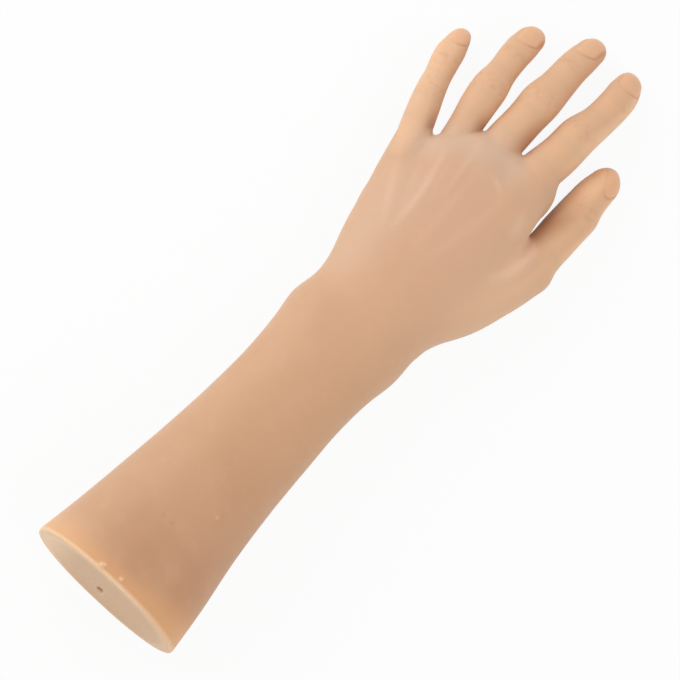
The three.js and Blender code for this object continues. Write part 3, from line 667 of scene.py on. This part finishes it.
def surface_of(values, lines):
    """Points and quads of the zero surface. Each cell that the surface crosses gets one point, the mean
    of the crossings on its edges, and each grid edge that it crosses gets the quad of the four cells
    round it."""
    inside = values < 0
    corners = [np.array(c) for c in np.ndindex(2, 2, 2)]
    size = np.array(values.shape) - 1
    parts = [inside[c[0]:c[0] + size[0], c[1]:c[1] + size[1], c[2]:c[2] + size[2]] for c in corners]
    count = sum(p.astype(np.int8) for p in parts)
    cells = np.argwhere((count > 0) & (count < 8))
    number = np.full(size, -1, np.int32)
    number[tuple(cells.T)] = np.arange(len(cells))
    total = np.zeros((len(cells), 3))
    crossings = np.zeros(len(cells))
    for axis in range(3):
        for corner in corners:
            if corner[axis]:
                continue
            start = cells + corner
            end = start.copy()
            end[:, axis] += 1
            a, b = values[tuple(start.T)].astype(float), values[tuple(end.T)].astype(float)
            crossed = (a < 0) != (b < 0)
            share = np.where(crossed, a / np.where(crossed, a - b, 1.0), 0.0)
            point = np.stack([lines[k][start[:, k]] for k in range(3)], 1)
            point[:, axis] += share * (lines[axis][end[:, axis]] - lines[axis][start[:, axis]])
            total += point * crossed[:, None]
            crossings += crossed
    points = total / crossings[:, None]
    quads = []
    for axis in range(3):
        one, two = (axis + 1) % 3, (axis + 2) % 3
        a = np.take(inside, range(size[axis]), axis)
        b = np.take(inside, range(1, size[axis] + 1), axis)
        edges = np.argwhere(a != b)
        edges = edges[(edges[:, one] > 0) & (edges[:, two] > 0)]
        edges = edges[(edges[:, one] < size[one]) & (edges[:, two] < size[two])]
        outward = a[tuple(edges.T)]
        ring = []
        for step_one, step_two in ((1, 1), (0, 1), (0, 0), (1, 0)):
            cell = edges.copy()
            cell[:, one] -= step_one
            cell[:, two] -= step_two
            ring.append(number[tuple(cell.T)])
        ring = np.stack(ring, 1)
        ring[outward] = ring[outward][:, ::-1]
        quads.append(ring[:, ::-1])
    return points, np.concatenate(quads)


def slope_of(points, step=0.05):
    """How the casting's distance grows in each direction at the points."""
    slope = np.empty_like(points)
    for axis in range(3):
        shift = np.zeros(3)
        shift[axis] = step
        ahead = casting_distance(*(points + shift).T)
        slope[:, axis] = (ahead - casting_distance(*(points - shift).T)) / (2 * step)
    return slope


def settle(points, rounds=3):
    """Moves points along the slope onto the zero surface."""
    for _ in range(rounds):
        slope = slope_of(points)
        push = casting_distance(*points.T) / np.maximum((slope ** 2).sum(1), LEAST_SLOPE)
        points = points - np.clip(push, -LONGEST_PUSH, LONGEST_PUSH)[:, None] * slope
    return points


def mean_normals(points, quads):
    """Each point's normal: the sum of the cross products of its quads' diagonals, at length 1."""
    cross = np.cross(points[quads[:, 2]] - points[quads[:, 0]], points[quads[:, 3]] - points[quads[:, 1]])
    normals = np.zeros_like(points)
    for corner in range(4):
        np.add.at(normals, quads[:, corner], cross)
    return normals / np.maximum(np.linalg.norm(normals, axis=1), 1e-9)[:, None]


def ease(points, quads, share=0.5):
    """Moves each point part of the way to the mean of its quads' middles, which evens the mesh out."""
    middles = points[quads].mean(1)
    total = np.zeros_like(points)
    count = np.zeros(len(points))
    for corner in range(4):
        np.add.at(total, quads[:, corner], middles)
        np.add.at(count, quads[:, corner], 1)
    return points + share * (total / count[:, None] - points)


class Places:
    """Where each point of the casting lies on its digit: the digit's number, with -1 for the arm, the
    distance along it, across it and above its line, and how much it belongs to the digit rather than to
    the arm."""

    def __init__(self, points):
        x, y, z = points.T
        distance = np.stack([d.distance(x, y, z) for d in DIGITS.values()])
        spots = np.stack([np.stack(d.place(x, y, z)) for d in DIGITS.values()])
        arm = with_pads(arm_distance(x, y, z), x, y, z)
        self.nearest = distance.argmin(0)
        self.along, self.across, self.above = spots[self.nearest, :, np.arange(len(points))].T
        self.digit = np.where(distance.min(0) < arm, self.nearest, -1)
        self.belonging = rise(*BELONGS, arm - distance.min(0))


def path_distance(x, y, path, samples=60):
    """Distance in plan from points to a smooth path, and how far along the path each nearest place is."""
    path = np.array(path, float)
    chord = np.concatenate([[0], np.cumsum(np.linalg.norm(np.diff(path, axis=0), axis=1))])
    share = np.linspace(0, 1, samples)
    line = np.stack([smooth_curve(chord, path[:, k])(share * chord[-1]) for k in range(2)], 1)
    squared = (x[:, None] - line[:, 0]) ** 2 + (y[:, None] - line[:, 1]) ** 2
    nearest = squared.argmin(1)
    return np.sqrt(squared[np.arange(len(x)), nearest]), share[nearest]


def near_mark(points, mark, width):
    """A bell of that width round a mark's place."""
    return bell(np.linalg.norm(points - np.array(mark[0]), axis=1), width)


def hand_relief(points, normals):
    """Lumps, cords and lines of hand and wrist: bells round places and paths, on their side of the hand."""
    x, y, _ = points.T
    back = rise(*HAND_SIDE, normals[:, 2])
    palm = rise(*HAND_SIDE, -normals[:, 2])
    raised = np.zeros(len(points))
    for side, lumps in ((back, BACK_LUMPS), (palm, PALM_LUMPS)):
        for (px, py), height, radius in lumps:
            raised += side * height * bell(np.hypot(x - px, y - py), radius)
    on_hand = y > CORDS_FROM
    for side, cords in ((back, BACK_CORDS), (palm, PALM_CORDS)):
        for path, height, width in cords:
            distance, share = path_distance(x[on_hand], y[on_hand], path)
            taper = np.sin(math.pi * (CORD_INSET + (1 - 2 * CORD_INSET) * share)) ** CORD_TAPER
            raised[on_hand] += side[on_hand] * height * taper * bell(distance, width)
    for mark in (*DENTS, SPOT, NICK, *FLAKES, THUMB_BONE):
        _, height, radius = mark
        raised += height * near_mark(points, mark, radius)
    return raised


def nail_inset(digit, places):
    """How far inside its nail's edge a point lies: the least of the distance past the fold behind the nail,
    a slanted curve, and the distance from its side."""
    length, half, slant, roundness = digit.nail
    sideways = places.across / half
    fold = digit.length - length + roundness * length * sideways ** 2 + slant * places.across
    past_fold = places.along - fold
    return np.minimum(past_fold, (1 - np.abs(sideways)) * half)


def digit_relief(places):
    """Nails, joint knobs and creases of the digits. Returns the height and the masks that the finish uses:
    nail, painted shade along the groove round it, wrinkles and the place along a joint's wrinkles."""
    raised, nail, nail_groove_shade, wrinkle, joint_place = np.zeros((5, len(places.along)))
    for number, digit in enumerate(DIGITS.values()):
        mine = places.digit == number
        above = places.above / digit.depth(places.along, places.above)
        back = mine * rise(*DIGIT_BACK, above)
        palm = mine * rise(*DIGIT_PALM, -above)
        top = mine * rise(*NAIL_SIDE, above)
        inset = nail_inset(digit, places)
        sideways = places.across / digit.nail[1]
        relief = NAIL_LEFT_RELIEF + (1 - NAIL_LEFT_RELIEF) * rise(*NAIL_RELIEF_ACROSS, sideways)
        groove = -NAIL_GROOVE * relief * bell(inset, NAIL_GROOVE_WIDTH)
        fold = NAIL_FOLD * relief * bell(inset + NAIL_FOLD_OUT, NAIL_FOLD_WIDTH)
        raised += top * (groove + fold + NAIL_PLATE * rise(*NAIL_PLATE_INSET, inset))
        nail += top * rise(*NAIL_TINT_INSET, inset)
        # Painted shade along the nail's groove, weaker on its left.
        deep = NAIL_LEFT_TINT + (1 - NAIL_LEFT_TINT) * rise(*NAIL_TINT_ACROSS, sideways)
        nail_groove_shade += top * deep * bell(inset, NAIL_GROOVE_WIDTH)
        for hinge, reach, knob, creases in zip(digit.hinges[1:], WRINKLE_REACH, JOINT_KNOBS, JOINT_CREASES):
            offset = places.along - hinge
            raised += knob * back * bell(offset, KNOB_SPREAD * reach)
            wrinkle += back * bell(offset, reach)
            joint_place += mine * offset * (np.abs(offset) < STRIPE_SPREAD * reach)
            for shift in creases:
                raised -= CREASE_DEPTH * palm * bell(offset - shift, CREASE_WIDTH)
        root = places.along - digit.hinges[0] - ROOT_CREASE
        raised -= CREASE_DEPTH * palm * bell(root, CREASE_WIDTH)
    masks = {"nail": nail, "nail_groove_shade": nail_groove_shade, "wrinkle": wrinkle, "joint_place": joint_place}
    return raised, masks


def arm_masks(points):
    """How much the tints of forearm and cut show: dents, the darker end with its painted shade, the rim's
    painted highlight with its flakes and pale spot, and the painted glow behind it."""
    x, y, _ = points.T
    flakes = sum(near_mark(points, flake, MARK_REACH) for flake in FLAKES)
    flakes = flakes + SPOT_SHARE * near_mark(points, SPOT, SPOT_REACH)
    # The rim's rounded edge gets a painted highlight, weaker to the right, away from the key lamp.
    rim_highlight_and_pale_marks = (1 - RIM_FADE * rise(*RIM_FADE_ACROSS, x)) * bell(np.maximum(y - RIM_FROM, 0.0), RIM_REACH)
    to_right = rise(*GLOW_ACROSS, x)
    # A painted glow of light through the silicone behind the rim.
    glow = bell(np.maximum(y - GLOW_FROM, 0.0), GLOW_REACH + GLOW_SPREAD * to_right)
    return {
        "dent": sum(near_mark(points, dent, MARK_REACH) for dent in DENTS),
        # Darker towards the cut: a deeper tone with painted shade, kept lighter on the left, towards the
        # key lamp.
        "elbow_tone_and_shade": (1 - rise(*ELBOW_ALONG, y)) * (1 - ELBOW_FADE * rise(*ELBOW_FADE_ACROSS, x)),
        "fore": 1 - rise(*FOREARM_ALONG, y),
        "rim_highlight_and_pale_marks": np.maximum(rim_highlight_and_pale_marks, flakes),
        "glow": (GLOW_SHARE + GLOW_GAIN * to_right) * glow,
    }


def oval_bell(x, y, place, stretch, reach):
    """A bell round a place in plan, with each direction stretched."""
    return bell(np.hypot((x - place[0]) / stretch[0], (y - place[1]) / stretch[1]), reach)


def back_masks(points, normals):
    """How much the tints of the back of the hand show: painted highlights along the raised cords, the pale
    band and strip, the pink middle and painted light on the thumb's root."""
    x, y, _ = points.T
    back = rise(*TINT_BACK, normals[:, 2])
    # Painted highlights along the raised tendons and veins.
    cord_highlight = np.zeros(len(points))
    on_hand = y > CORDS_FROM
    for path, height, width in BACK_CORDS:
        if height > 0:
            distance, share = path_distance(x[on_hand], y[on_hand], path)
            shown = height / FULL_CORD * np.sin(math.pi * share) * bell(distance, width)
            cord_highlight[on_hand] = np.maximum(cord_highlight[on_hand], shown)
    band = bell(knuckle_line(x) - y - BAND_BEHIND, BAND_WIDTH)
    band = band * rise(*BAND_LEFT, x) * (1 - rise(*BAND_RIGHT, x))
    strip = bell(x - STRIP_ACROSS, STRIP_WIDTH) * (rise(*STRIP_START, y) - rise(*STRIP_END, y))
    # The thumb's root is painted lighter where it faces up and to the right, towards the fill lamp.
    thumb_side = rise(*ROOT_SIDE, normals[:, 0] + normals[:, 2])
    return {
        "cord_highlight": back * np.clip(cord_highlight, 0, 1),
        "pale": back * np.maximum(band, STRIP_SHARE * strip),
        "pink": back * oval_bell(x, y, PINK_PLACE, PINK_STRETCH, PINK_REACH),
        "root": thumb_side * oval_bell(x, y, ROOT_PLACE, ROOT_STRETCH, ROOT_REACH),
    }


def digit_masks(points, normals, places):
    """How much the tints of the digits show: their warmth, painted shade on flanks and in webs, painted
    shadow on the thumb's side, and painted light on the sides that catch the light and on the ends of the
    cut."""
    x, y, _ = points.T
    back = rise(*TINT_BACK, normals[:, 2])
    flank_shade, web_shade, shade, thumb_tint, lit = np.zeros((5, len(points)))
    # Painted light on the cut's ends, stronger on the left, towards the key lamp.
    for share, across, place, reach in LIT_CUT_ENDS:
        lit += share * rise(*across, x) * bell(y - place, reach)
    for number, digit in enumerate(DIGITS.values()):
        mine = (places.nearest == number) * places.belonging
        sideways = places.across / digit.width(places.along)
        for name, share, across, along in LIT_SIDES:
            if name == digit.name:
                lit += share * mine * rise(*across, sideways) * rise(*along, y)
        if digit.name == "thumb":
            thumb_tint += mine * rise(*THUMB_ALONG, y)
            shade += mine * rise(*SHADE_ACROSS, sideways) * bell(y - SHADE_ALONG, SHADE_REACH)
        # Painted shade on the right flanks, which face the next finger.
        if digit.name in FLANKED:
            flank_shade += mine * rise(*FLANK_ACROSS, sideways)
            # Painted shade by each web, on the finger's right side.
            for wx, wy, radius in WEBS:
                web_shade += mine * rise(*WEB_ACROSS, sideways) * bell(np.hypot(x - wx, y - wy), radius)
    # Painted shade on the palm at the floor of two webs.
    for wx, wy in WEB_FLOORS:
        floor = bell(np.hypot(x - wx, y - wy), WEB_FLOOR_REACH)
        web_shade += WEB_FLOOR_SHARE * (1 - places.belonging) * back * floor
    return {
        "warm": places.belonging * rise(*WARM_ALONG, y),
        "thumb": thumb_tint,
        "flank_shade": flank_shade,
        "web_shade": np.clip(web_shade, 0, 1),
        "shade": shade,
        "lit": lit,
    }


class Casting:
    """The whole casting before it is divided: points, quads, normals, places on the digits, and masks of
    the tints, with the relief of hand and digits raised along the normals."""

    def __init__(self):
        lines = grid_lines()
        points, self.quads = surface_of(sample_grid(*lines), lines)
        points = settle(ease(points, self.quads))
        normals = mean_normals(points, self.quads)
        self.places = Places(points)
        raised, self.masks = digit_relief(self.places)
        self.masks.update(arm_masks(points))
        self.masks.update(back_masks(points, normals))
        self.masks.update(digit_masks(points, normals, self.places))
        self.points = points + (raised + hand_relief(points, normals))[:, None] * normals
        self.normals = mean_normals(self.points, self.quads)


class Wire:
    """A shader socket that does sums: each operator adds a Math node to its tree."""

    def __init__(self, nodes, socket):
        self.nodes = nodes
        self.socket = socket

    def _math(self, operation, a, b):
        return self.nodes.node("ShaderNodeMath", {"operation": operation}, {0: a, 1: b})

    def __add__(self, other):
        return self._math("ADD", self, other)

    def __radd__(self, other):
        return self._math("ADD", other, self)

    def __sub__(self, other):
        return self._math("SUBTRACT", self, other)

    def __rsub__(self, other):
        return self._math("SUBTRACT", other, self)

    def __mul__(self, other):
        return self._math("MULTIPLY", self, other)

    def __rmul__(self, other):
        return self._math("MULTIPLY", other, self)


class Nodes:
    """The node tree of a material or of the world."""

    def __init__(self, tree):
        self.tree = tree

    def node(self, kind, settings, inputs, output=0):
        """Adds a node of that kind with its settings, then its sockets' values or links."""
        node = self.tree.nodes.new(kind)
        for name, value in settings.items():
            setattr(node, name, value)
        for name, value in inputs.items():
            self.feed(node.inputs[name], value)
        return Wire(self, node.outputs[output])

    def feed(self, socket, value):
        """Links a wire to the socket, or sets it to a value."""
        if isinstance(value, Wire):
            self.tree.links.new(value.socket, socket)
        else:
            socket.default_value = value

    def seen(self):
        """1 for the rays that show what is behind the object, 0 for those that light it."""
        return sum(self.node("ShaderNodeLightPath", {}, {}, ray) for ray in SEEN_RAYS)


class Finish(Nodes):
    """A material with its node tree."""

    def __init__(self, name):
        self.material = bpy.data.materials.new(name)
        self.material.use_nodes = True
        super().__init__(self.material.node_tree)
        self.shader = self.tree.nodes["Principled BSDF"]
        self.place = self.node("ShaderNodeTexCoord", {}, {}, "Object")

    def set(self, **inputs):
        """Sets sockets of the shader, with spaces of their names as underscores."""
        for name, value in inputs.items():
            self.feed(self.shader.inputs[name.replace("_", " ")], value)

    def mix(self, share, a, b):
        """Colour a where share is 0, b where it is 1."""
        return self.node("ShaderNodeMix", {"data_type": "RGBA"}, {0: share, 6: a, 7: b}, 2)

    def noise(self, size, detail):
        """Noise from 0 to 1 with lumps of that size in metres."""
        inputs = {"Vector": self.place, "Scale": 1 / size, "Detail": detail, "Roughness": 0.5}
        return self.node("ShaderNodeTexNoise", {}, inputs, "Fac")

    def attribute(self, name):
        """The mask of that name on the piece's points."""
        return self.node("ShaderNodeAttribute", {"attribute_name": name}, {}, "Fac")

    def ramp(self, value, low, high):
        """From 0 at low to 1 at high, with level ends."""
        inputs = {"Value": value, "From Min": low, "From Max": high}
        return self.node("ShaderNodeMapRange", {"interpolation_type": "SMOOTHSTEP"}, inputs)

    def bump(self, height, distance, strength):
        """Shades the surface as if it were raised by height times distance, in metres."""
        self.set(Normal=self.node(
            "ShaderNodeBump", {}, {"Height": height, "Distance": distance, "Strength": strength}, "Normal"
        ))


def colour(red, green, blue):
    """A colour written as on a screen, from 0 to 255, as the linear values that shaders use."""
    screen = np.array([red, green, blue]) / 255
    linear = np.where(screen <= 0.04045, screen / 12.92, ((screen + 0.055) / 1.055) ** 2.4)
    return (*linear.tolist(), 1.0)


def silicone_skin():
    """Skin-coloured silicone: tan, pinker in blotches and on the back of the hand, warmer on the digits,
    greyer behind the knuckles, with wrinkles over the joints and a fine moulded grain. Its colour also
    carries painted light, a glow by the cut and highlights on the cut's rim, along the tendons, on the
    thumb's root and on lit sides, and painted shade, partly on the forearm, in the webs, on finger flanks,
    on the thumb's side, in joint creases and along nail grooves."""
    finish = Finish("silicone_skin")
    mottle = finish.noise(size=0.009, detail=3.0)
    grain = finish.noise(size=0.0011, detail=3.0)
    pores = finish.noise(size=0.0035, detail=2.0)
    joint = finish.attribute("wrinkle")
    # The crease mask sinks the bump in the joint wrinkles, and its tint paints shade into them.
    crease = joint * finish.ramp(finish.noise(size=0.0034, detail=1.0), low=0.40, high=0.80)
    patterns = {
        "blotch": finish.ramp(finish.noise(size=0.040, detail=2.0), low=0.35, high=0.68),
        "mottle": finish.ramp(mottle, low=0.50, high=0.78),
        "crease": crease,
    }
    base = finish.mix(finish.attribute("fore"), colour(*HAND_TONE), colour(*FOREARM_TONE))
    for name, share, tint in SKIN_TINTS:
        mask = patterns[name] if name in patterns else finish.attribute(name)
        base = finish.mix(share * mask, base, colour(*tint))
    roughness = SKIN_ROUGHNESS + MOTTLE_ROUGHNESS * mottle - NAIL_POLISH * finish.attribute("nail")
    finish.set(Base_Color=base, Roughness=roughness)
    wander = STRIPE_WANDER * finish.noise(size=0.006, detail=2.0)
    turn = STRIPE_TURN * finish.attribute("joint_place") + wander
    stripes = finish.node("ShaderNodeMath", {"operation": "SINE"}, {0: turn})
    height = STRIPE_HEIGHT * stripes * joint - WRINKLE_DEPTH * crease
    height = height + GRAIN_HEIGHT * grain + PORE_HEIGHT * pores
    finish.bump(height, distance=MM, strength=0.8)
    finish.set(Subsurface_Weight=0.25, Subsurface_Radius=(1.0, 0.42, 0.22), Subsurface_Scale=0.004)
    finish.set(IOR=1.4, Sheen_Weight=0.12, Sheen_Roughness=0.5)
    return finish.material


def silicone_core():
    """Firmer, duller silicone: pale tan with a fine grain, peach at its ends and edge, with painted shade
    in the pit.
    """
    finish = Finish("silicone_core")
    grain = finish.noise(size=0.0015, detail=4.0)
    base = finish.mix(finish.ramp(grain, low=0.3, high=0.7), colour(*CORE_DARK), colour(*CORE_LIGHT))
    for name, share, tint in CORE_TINTS:
        base = finish.mix(share * finish.attribute(name), base, colour(*tint))
    finish.set(Base_Color=base, Roughness=0.7)
    finish.bump(grain, distance=0.0002, strength=0.5)
    return finish.material


def metal(name, tone, roughness, grain_size):
    """Bare metal with a fine grain that darkens and roughens it."""
    finish = Finish(name)
    grain = finish.noise(grain_size, detail=3.0)
    dark = (*(METAL_SHADE * part for part in tone[:3]), 1.0)
    base = finish.mix(grain, dark, tone)
    finish.set(Base_Color=base, Metallic=1.0, Roughness=roughness + METAL_GRAIN_ROUGHNESS * grain)
    finish.bump(grain, distance=0.00005, strength=0.3)
    return finish.material


def add_object(name, data):
    """An object of that name in the scene."""
    thing = bpy.data.objects.new(name, data)
    bpy.context.scene.collection.objects.link(thing)
    return thing


def mesh_piece(name, points, faces, material):
    """A mesh object at the origin from points in millimetres and faces given as lists of point numbers."""
    mesh = bpy.data.meshes.new(name)
    totals = np.concatenate([np.full(len(f), f.shape[1]) for f in faces])
    corners = np.concatenate([f.ravel() for f in faces])
    starts = np.concatenate([[0], np.cumsum(totals)[:-1]])
    mesh.vertices.add(len(points))
    mesh.vertices.foreach_set("co", (points * MM).astype(np.float32).ravel())
    mesh.loops.add(len(corners))
    mesh.loops.foreach_set("vertex_index", corners.astype(np.int32))
    mesh.polygons.add(len(totals))
    mesh.polygons.foreach_set("loop_start", starts.astype(np.int32))
    mesh.polygons.foreach_set("use_smooth", np.ones(len(totals), bool))
    mesh.update(calc_edges=True)
    mesh.validate()
    mesh.materials.append(material)
    return add_object(name, mesh)


def set_mask(piece, name, values):
    """Keeps a mask's values on the points of a piece, for its finish to read."""
    attribute = piece.data.attributes.new(name, "FLOAT", "POINT")
    attribute.data.foreach_set("value", values.astype(np.float32))


def open_edges(quads):
    """Directed edges of quads that no other quad has the other way round."""
    edges = np.concatenate([quads[:, [k, (k + 1) % 4]] for k in range(4)])
    size = quads.max() + 1
    key = edges[:, 0].astype(np.int64) * size + edges[:, 1]
    reverse = edges[:, 1].astype(np.int64) * size + edges[:, 0]
    return edges[~np.isin(key, reverse)]


def casting_piece(casting, name, chosen, caps, material):
    """A piece of the casting: its quads, and at each cut a fan of triangles to the cut's middle. caps
    gives, for each point, the number of the cut that it would lie on."""
    points = casting.points
    faces = casting.quads[chosen]
    edges = open_edges(faces)
    used = np.unique(faces)
    renumber = np.full(len(points), -1)
    renumber[used] = np.arange(len(used))
    place = [points[used]]
    normal = [casting.normals[used]]
    fans = []
    groups = caps[edges[:, 0]]
    for group in np.unique(groups):
        ring = edges[groups == group]
        centre = len(used) + len(place) - 1
        place.append(points[ring[:, 0]].mean(0, keepdims=True))
        across = np.cross(points[ring[:, 1]], points[ring[:, 0]]).sum(0)
        normal.append((across / np.linalg.norm(across))[None])
        fans.append(np.stack([renumber[ring[:, 1]], renumber[ring[:, 0]], np.full(len(ring), centre)], 1))
    piece = mesh_piece(name, np.concatenate(place), [renumber[faces], *fans], material)
    piece.data.normals_split_custom_set_from_vertices(np.concatenate(normal))
    for mask, values in casting.masks.items():
        set_mask(piece, mask, np.concatenate([values[used], np.zeros(len(place) - 1)]))
    return piece


def split_casting(casting, material):
    """The arm, and each digit in pieces that meet halfway between the bends of two hinges."""
    along = casting.places.along
    quads = casting.quads
    owners = casting.places.digit[quads]
    quad_owner = np.where((owners == owners[:, :1]).all(1), owners[:, 0], -1)
    quad_along = along[quads].mean(1)
    on_arm = np.ones(len(quads), bool)
    for number, (name, digit) in enumerate(DIGITS.items()):
        knuckle_end = digit.cut + digit.bend
        starts = [digit.hinges[0] + digit.cut]
        for before, after, bent in zip(digit.hinges, digit.hinges[1:], (knuckle_end, JOINT_BEND)):
            starts.append((before + bent + after - JOINT_BEND) / 2)
        ends = [*starts[1:], math.inf]
        forward = np.array([*digit.forward, 0.0])
        for (link, joint), start, end in zip(digit.links, starts, ends):
            chosen = (quad_owner == number) & (quad_along >= start) & (quad_along < end)
            on_arm &= ~chosen
            caps = (along > (start + min(end, digit.length)) / 2).astype(int)
            body = f"{name}_{link}"
            piece = casting_piece(casting, f"{body}_casting", chosen, caps, material)
            hinge = JOINTS[f"{name}_{joint}"]
            if joint == "knuckle":
                first, last = hinge + digit.cut * forward, hinge + knuckle_end * forward
            else:
                reach = JOINT_BEND if joint == "middle_hinge" else END_BEND
                first, last = hinge - reach * forward, hinge + reach * forward
            tuple(first * MM)
            tuple(last * MM)
            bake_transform(piece)
            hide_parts(f"{body}_skin")
    arm = casting_piece(casting, "arm_casting", on_arm, casting.places.digit, material)
    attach(arm, "root")
    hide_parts("arm_skin")


def pocket_reach(direction):
    """How far the pocket's outline lies from the pit in each direction, found by walking to it."""
    reach = np.full(SPOKES, OUTLINE_START)
    for _ in range(OUTLINE_ROUNDS):
        x = PIT_ACROSS + reach * direction[0]
        z = PIT_HEIGHT + reach * direction[1]
        reach -= OUTLINE_STEP * (arm_distance(x, np.zeros(SPOKES), z) + SKIN_WALL + CORE_GAP)
    return reach


def core_plug(material):
    """The core at the cut: rings round its pit that grow from an oval to the pocket's outline, then run
    back along the pocket's wall and close behind. The pit's wall is a bell curve, and its right side has
    a lip."""
    angle = np.linspace(0, 2 * math.pi, SPOKES, endpoint=False)
    direction = np.stack([np.cos(angle), np.sin(angle)])
    reach = pocket_reach(direction)
    oval = PIT_RADIUS / np.hypot(direction[0], direction[1] / PIT_STRETCH)
    share = np.array(PIT_RINGS)[:, None]
    radius = oval * share
    pit = (PIT_DEPTH + CORE_PROUD) * np.exp(-PIT_WALL * np.maximum(share - PIT_FLOOR, 0.0) ** 2)
    lip = LIP_HEIGHT * rise(*LIP_SIDE, direction[0]) * bell(share - LIP_AT, LIP_WIDTH)
    spread = np.linspace(0, 1, FACE_RINGS)[1:, None]
    face = radius[-1] + (reach - radius[-1]) * spread
    profile = np.concatenate([radius, face, [reach + CORE_LAP, reach, reach]])
    level = np.ones(SPOKES)
    depth = np.concatenate([
        pit - lip - CORE_PROUD, np.full_like(face, -CORE_PROUD),
        [-CORE_LIFT * level, -CORE_LIFT * level, CORE_DEPTH * level],
    ])
    x = PIT_ACROSS + profile * direction[0]
    z = PIT_HEIGHT + profile * direction[1]
    grid = np.stack([x, depth, z], 2).reshape(-1, 3)
    count = len(profile)
    index = np.arange(count * SPOKES).reshape(count, SPOKES)
    after = np.roll(index, -1, 1)
    sides = np.stack([index[:-1], after[:-1], after[1:], index[1:]], 2).reshape(-1, 4)
    poles = np.array([[PIT_ACROSS, PIT_DEPTH, PIT_HEIGHT], [PIT_ACROSS, CORE_DEPTH, PIT_HEIGHT]])
    front, back = count * SPOKES, count * SPOKES + 1
    near_fan = np.stack([after[0], index[0], np.full(SPOKES, front)], 1)
    far_fan = np.stack([index[-1], after[-1], np.full(SPOKES, back)], 1)
    piece = mesh_piece("core_plug", np.concatenate([grid, poles]), [sides, near_fan, far_fan], material)
    piece.data.set_sharp_from_angle(angle=CORE_SHARP)
    peach = sum(end_share * rise(*across, x) for end_share, across in CORE_ENDS)
    peach += EDGE_SHARE * rise(*EDGE_RINGS, profile / reach)
    peach[:len(lip)] += LIP_SHARE * lip / LIP_HEIGHT
    # Painted shade, deepening down the pit.
    pit_shade = rise(*SUNK_DEPTHS, depth) * (profile < SUNK_REACH * PIT_RADIUS * PIT_STRETCH)
    set_mask(piece, "peach", np.append(np.clip(peach, 0, 1), [0, 0]))
    set_mask(piece, "pit_shade", np.append(pit_shade, [1, 0]))
    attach(piece, "root")
    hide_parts("arm_core")


def finish_armature():
    """Gives the armature's nodes their metals: steel for fasteners, aluminium for the rest."""
    aluminium = metal("armature_aluminium", colour(*ALUMINIUM_TONE), roughness=0.35, grain_size=0.0008)
    steel = metal("fastener_steel", colour(*STEEL_TONE), roughness=0.25, grain_size=0.0005)
    for name, node in NODES.items():
        if node.hide_render:
            continue
        is_fastener = any(word in name for word in FASTENERS)
        node.data.materials.clear()
        node.data.materials.append(steel if is_fastener else aluminium)


def add_camera():
    """The camera, tilted down by its elevation and then turned about its line of sight."""
    data = bpy.data.cameras.new("camera")
    data.sensor_width = SENSOR
    data.lens = LENS
    data.clip_end = CLIP_END
    camera = add_object("camera", data)
    up = np.array([0, math.sin(CAMERA_ELEVATION), math.cos(CAMERA_ELEVATION)])
    across = np.array([1.0, 0, 0])
    back = np.array([0, -math.cos(CAMERA_ELEVATION), math.sin(CAMERA_ELEVATION)])
    cosine, sine = math.cos(CAMERA_TURN), math.sin(CAMERA_TURN)
    turned = np.stack([cosine * across + sine * up, cosine * up - sine * across, back], 1)
    matrix = Matrix(turned.tolist()).to_4x4()
    matrix.translation = [c * MM for c in CAMERA_PLACE]
    camera.matrix_world = matrix
    bpy.context.scene.camera = camera


def add_floor():
    """A pale floor that is white to the camera and in reflections, apart from the object's shadow."""
    finish = Finish("floor")
    finish.set(Base_Color=FLOOR_COLOUR, Roughness=1.0)
    glow = finish.node("ShaderNodeEmission", {}, {"Color": WHITE, "Strength": 1.0}, "Emission")
    plain = Wire(finish, finish.shader.outputs[0])
    white = FLOOR_WHITE * finish.seen()
    mixed = finish.node("ShaderNodeMixShader", {}, {0: white, 1: plain, 2: glow}, "Shader")
    finish.feed(finish.tree.nodes["Material Output"].inputs["Surface"], mixed)
    corners = FLOOR_HALF * np.array([[-1, -1], [1, -1], [1, 1], [-1, 1]])
    level = np.full((4, 1), cad_low[2] / MM - FLOOR_GAP)
    floor = mesh_piece("floor", np.hstack([corners, level]), [np.array([[0, 1, 2, 3]])], finish.material)


def add_light(name, place, target, size, power):
    """A round soft lamp that points at its target."""
    data = bpy.data.lights.new(name, "AREA")
    data.shape = "DISK"
    data.size = size
    data.energy = power
    lamp = add_object(name, data)
    lamp.location = place
    aim = Vector(target) - Vector(place)
    lamp.rotation_mode = "QUATERNION"
    lamp.rotation_quaternion = aim.to_track_quat("-Z", "Y")


def add_world():
    """Even light from all sides, white to the camera and in reflections."""
    world = bpy.data.worlds.new("studio")
    world.use_nodes = True
    nodes = Nodes(world.node_tree)
    light = nodes.node("ShaderNodeBackground", {}, {"Color": WHITE, "Strength": WORLD_LIGHT}, "Background")
    behind = nodes.node("ShaderNodeBackground", {}, {"Color": WHITE, "Strength": 1.0}, "Background")
    mixed = nodes.node("ShaderNodeMixShader", {}, {0: nodes.seen(), 1: light, 2: behind}, "Shader")
    nodes.feed(nodes.tree.nodes["World Output"].inputs["Surface"], mixed)
    bpy.context.scene.world = world


split_casting(Casting(), silicone_skin())
core_plug(silicone_core())
finish_armature()
add_camera()
add_floor()
for lamp in LAMPS:
    add_light(*lamp)
add_world()
bpy.context.scene.view_settings.view_transform = "Standard"
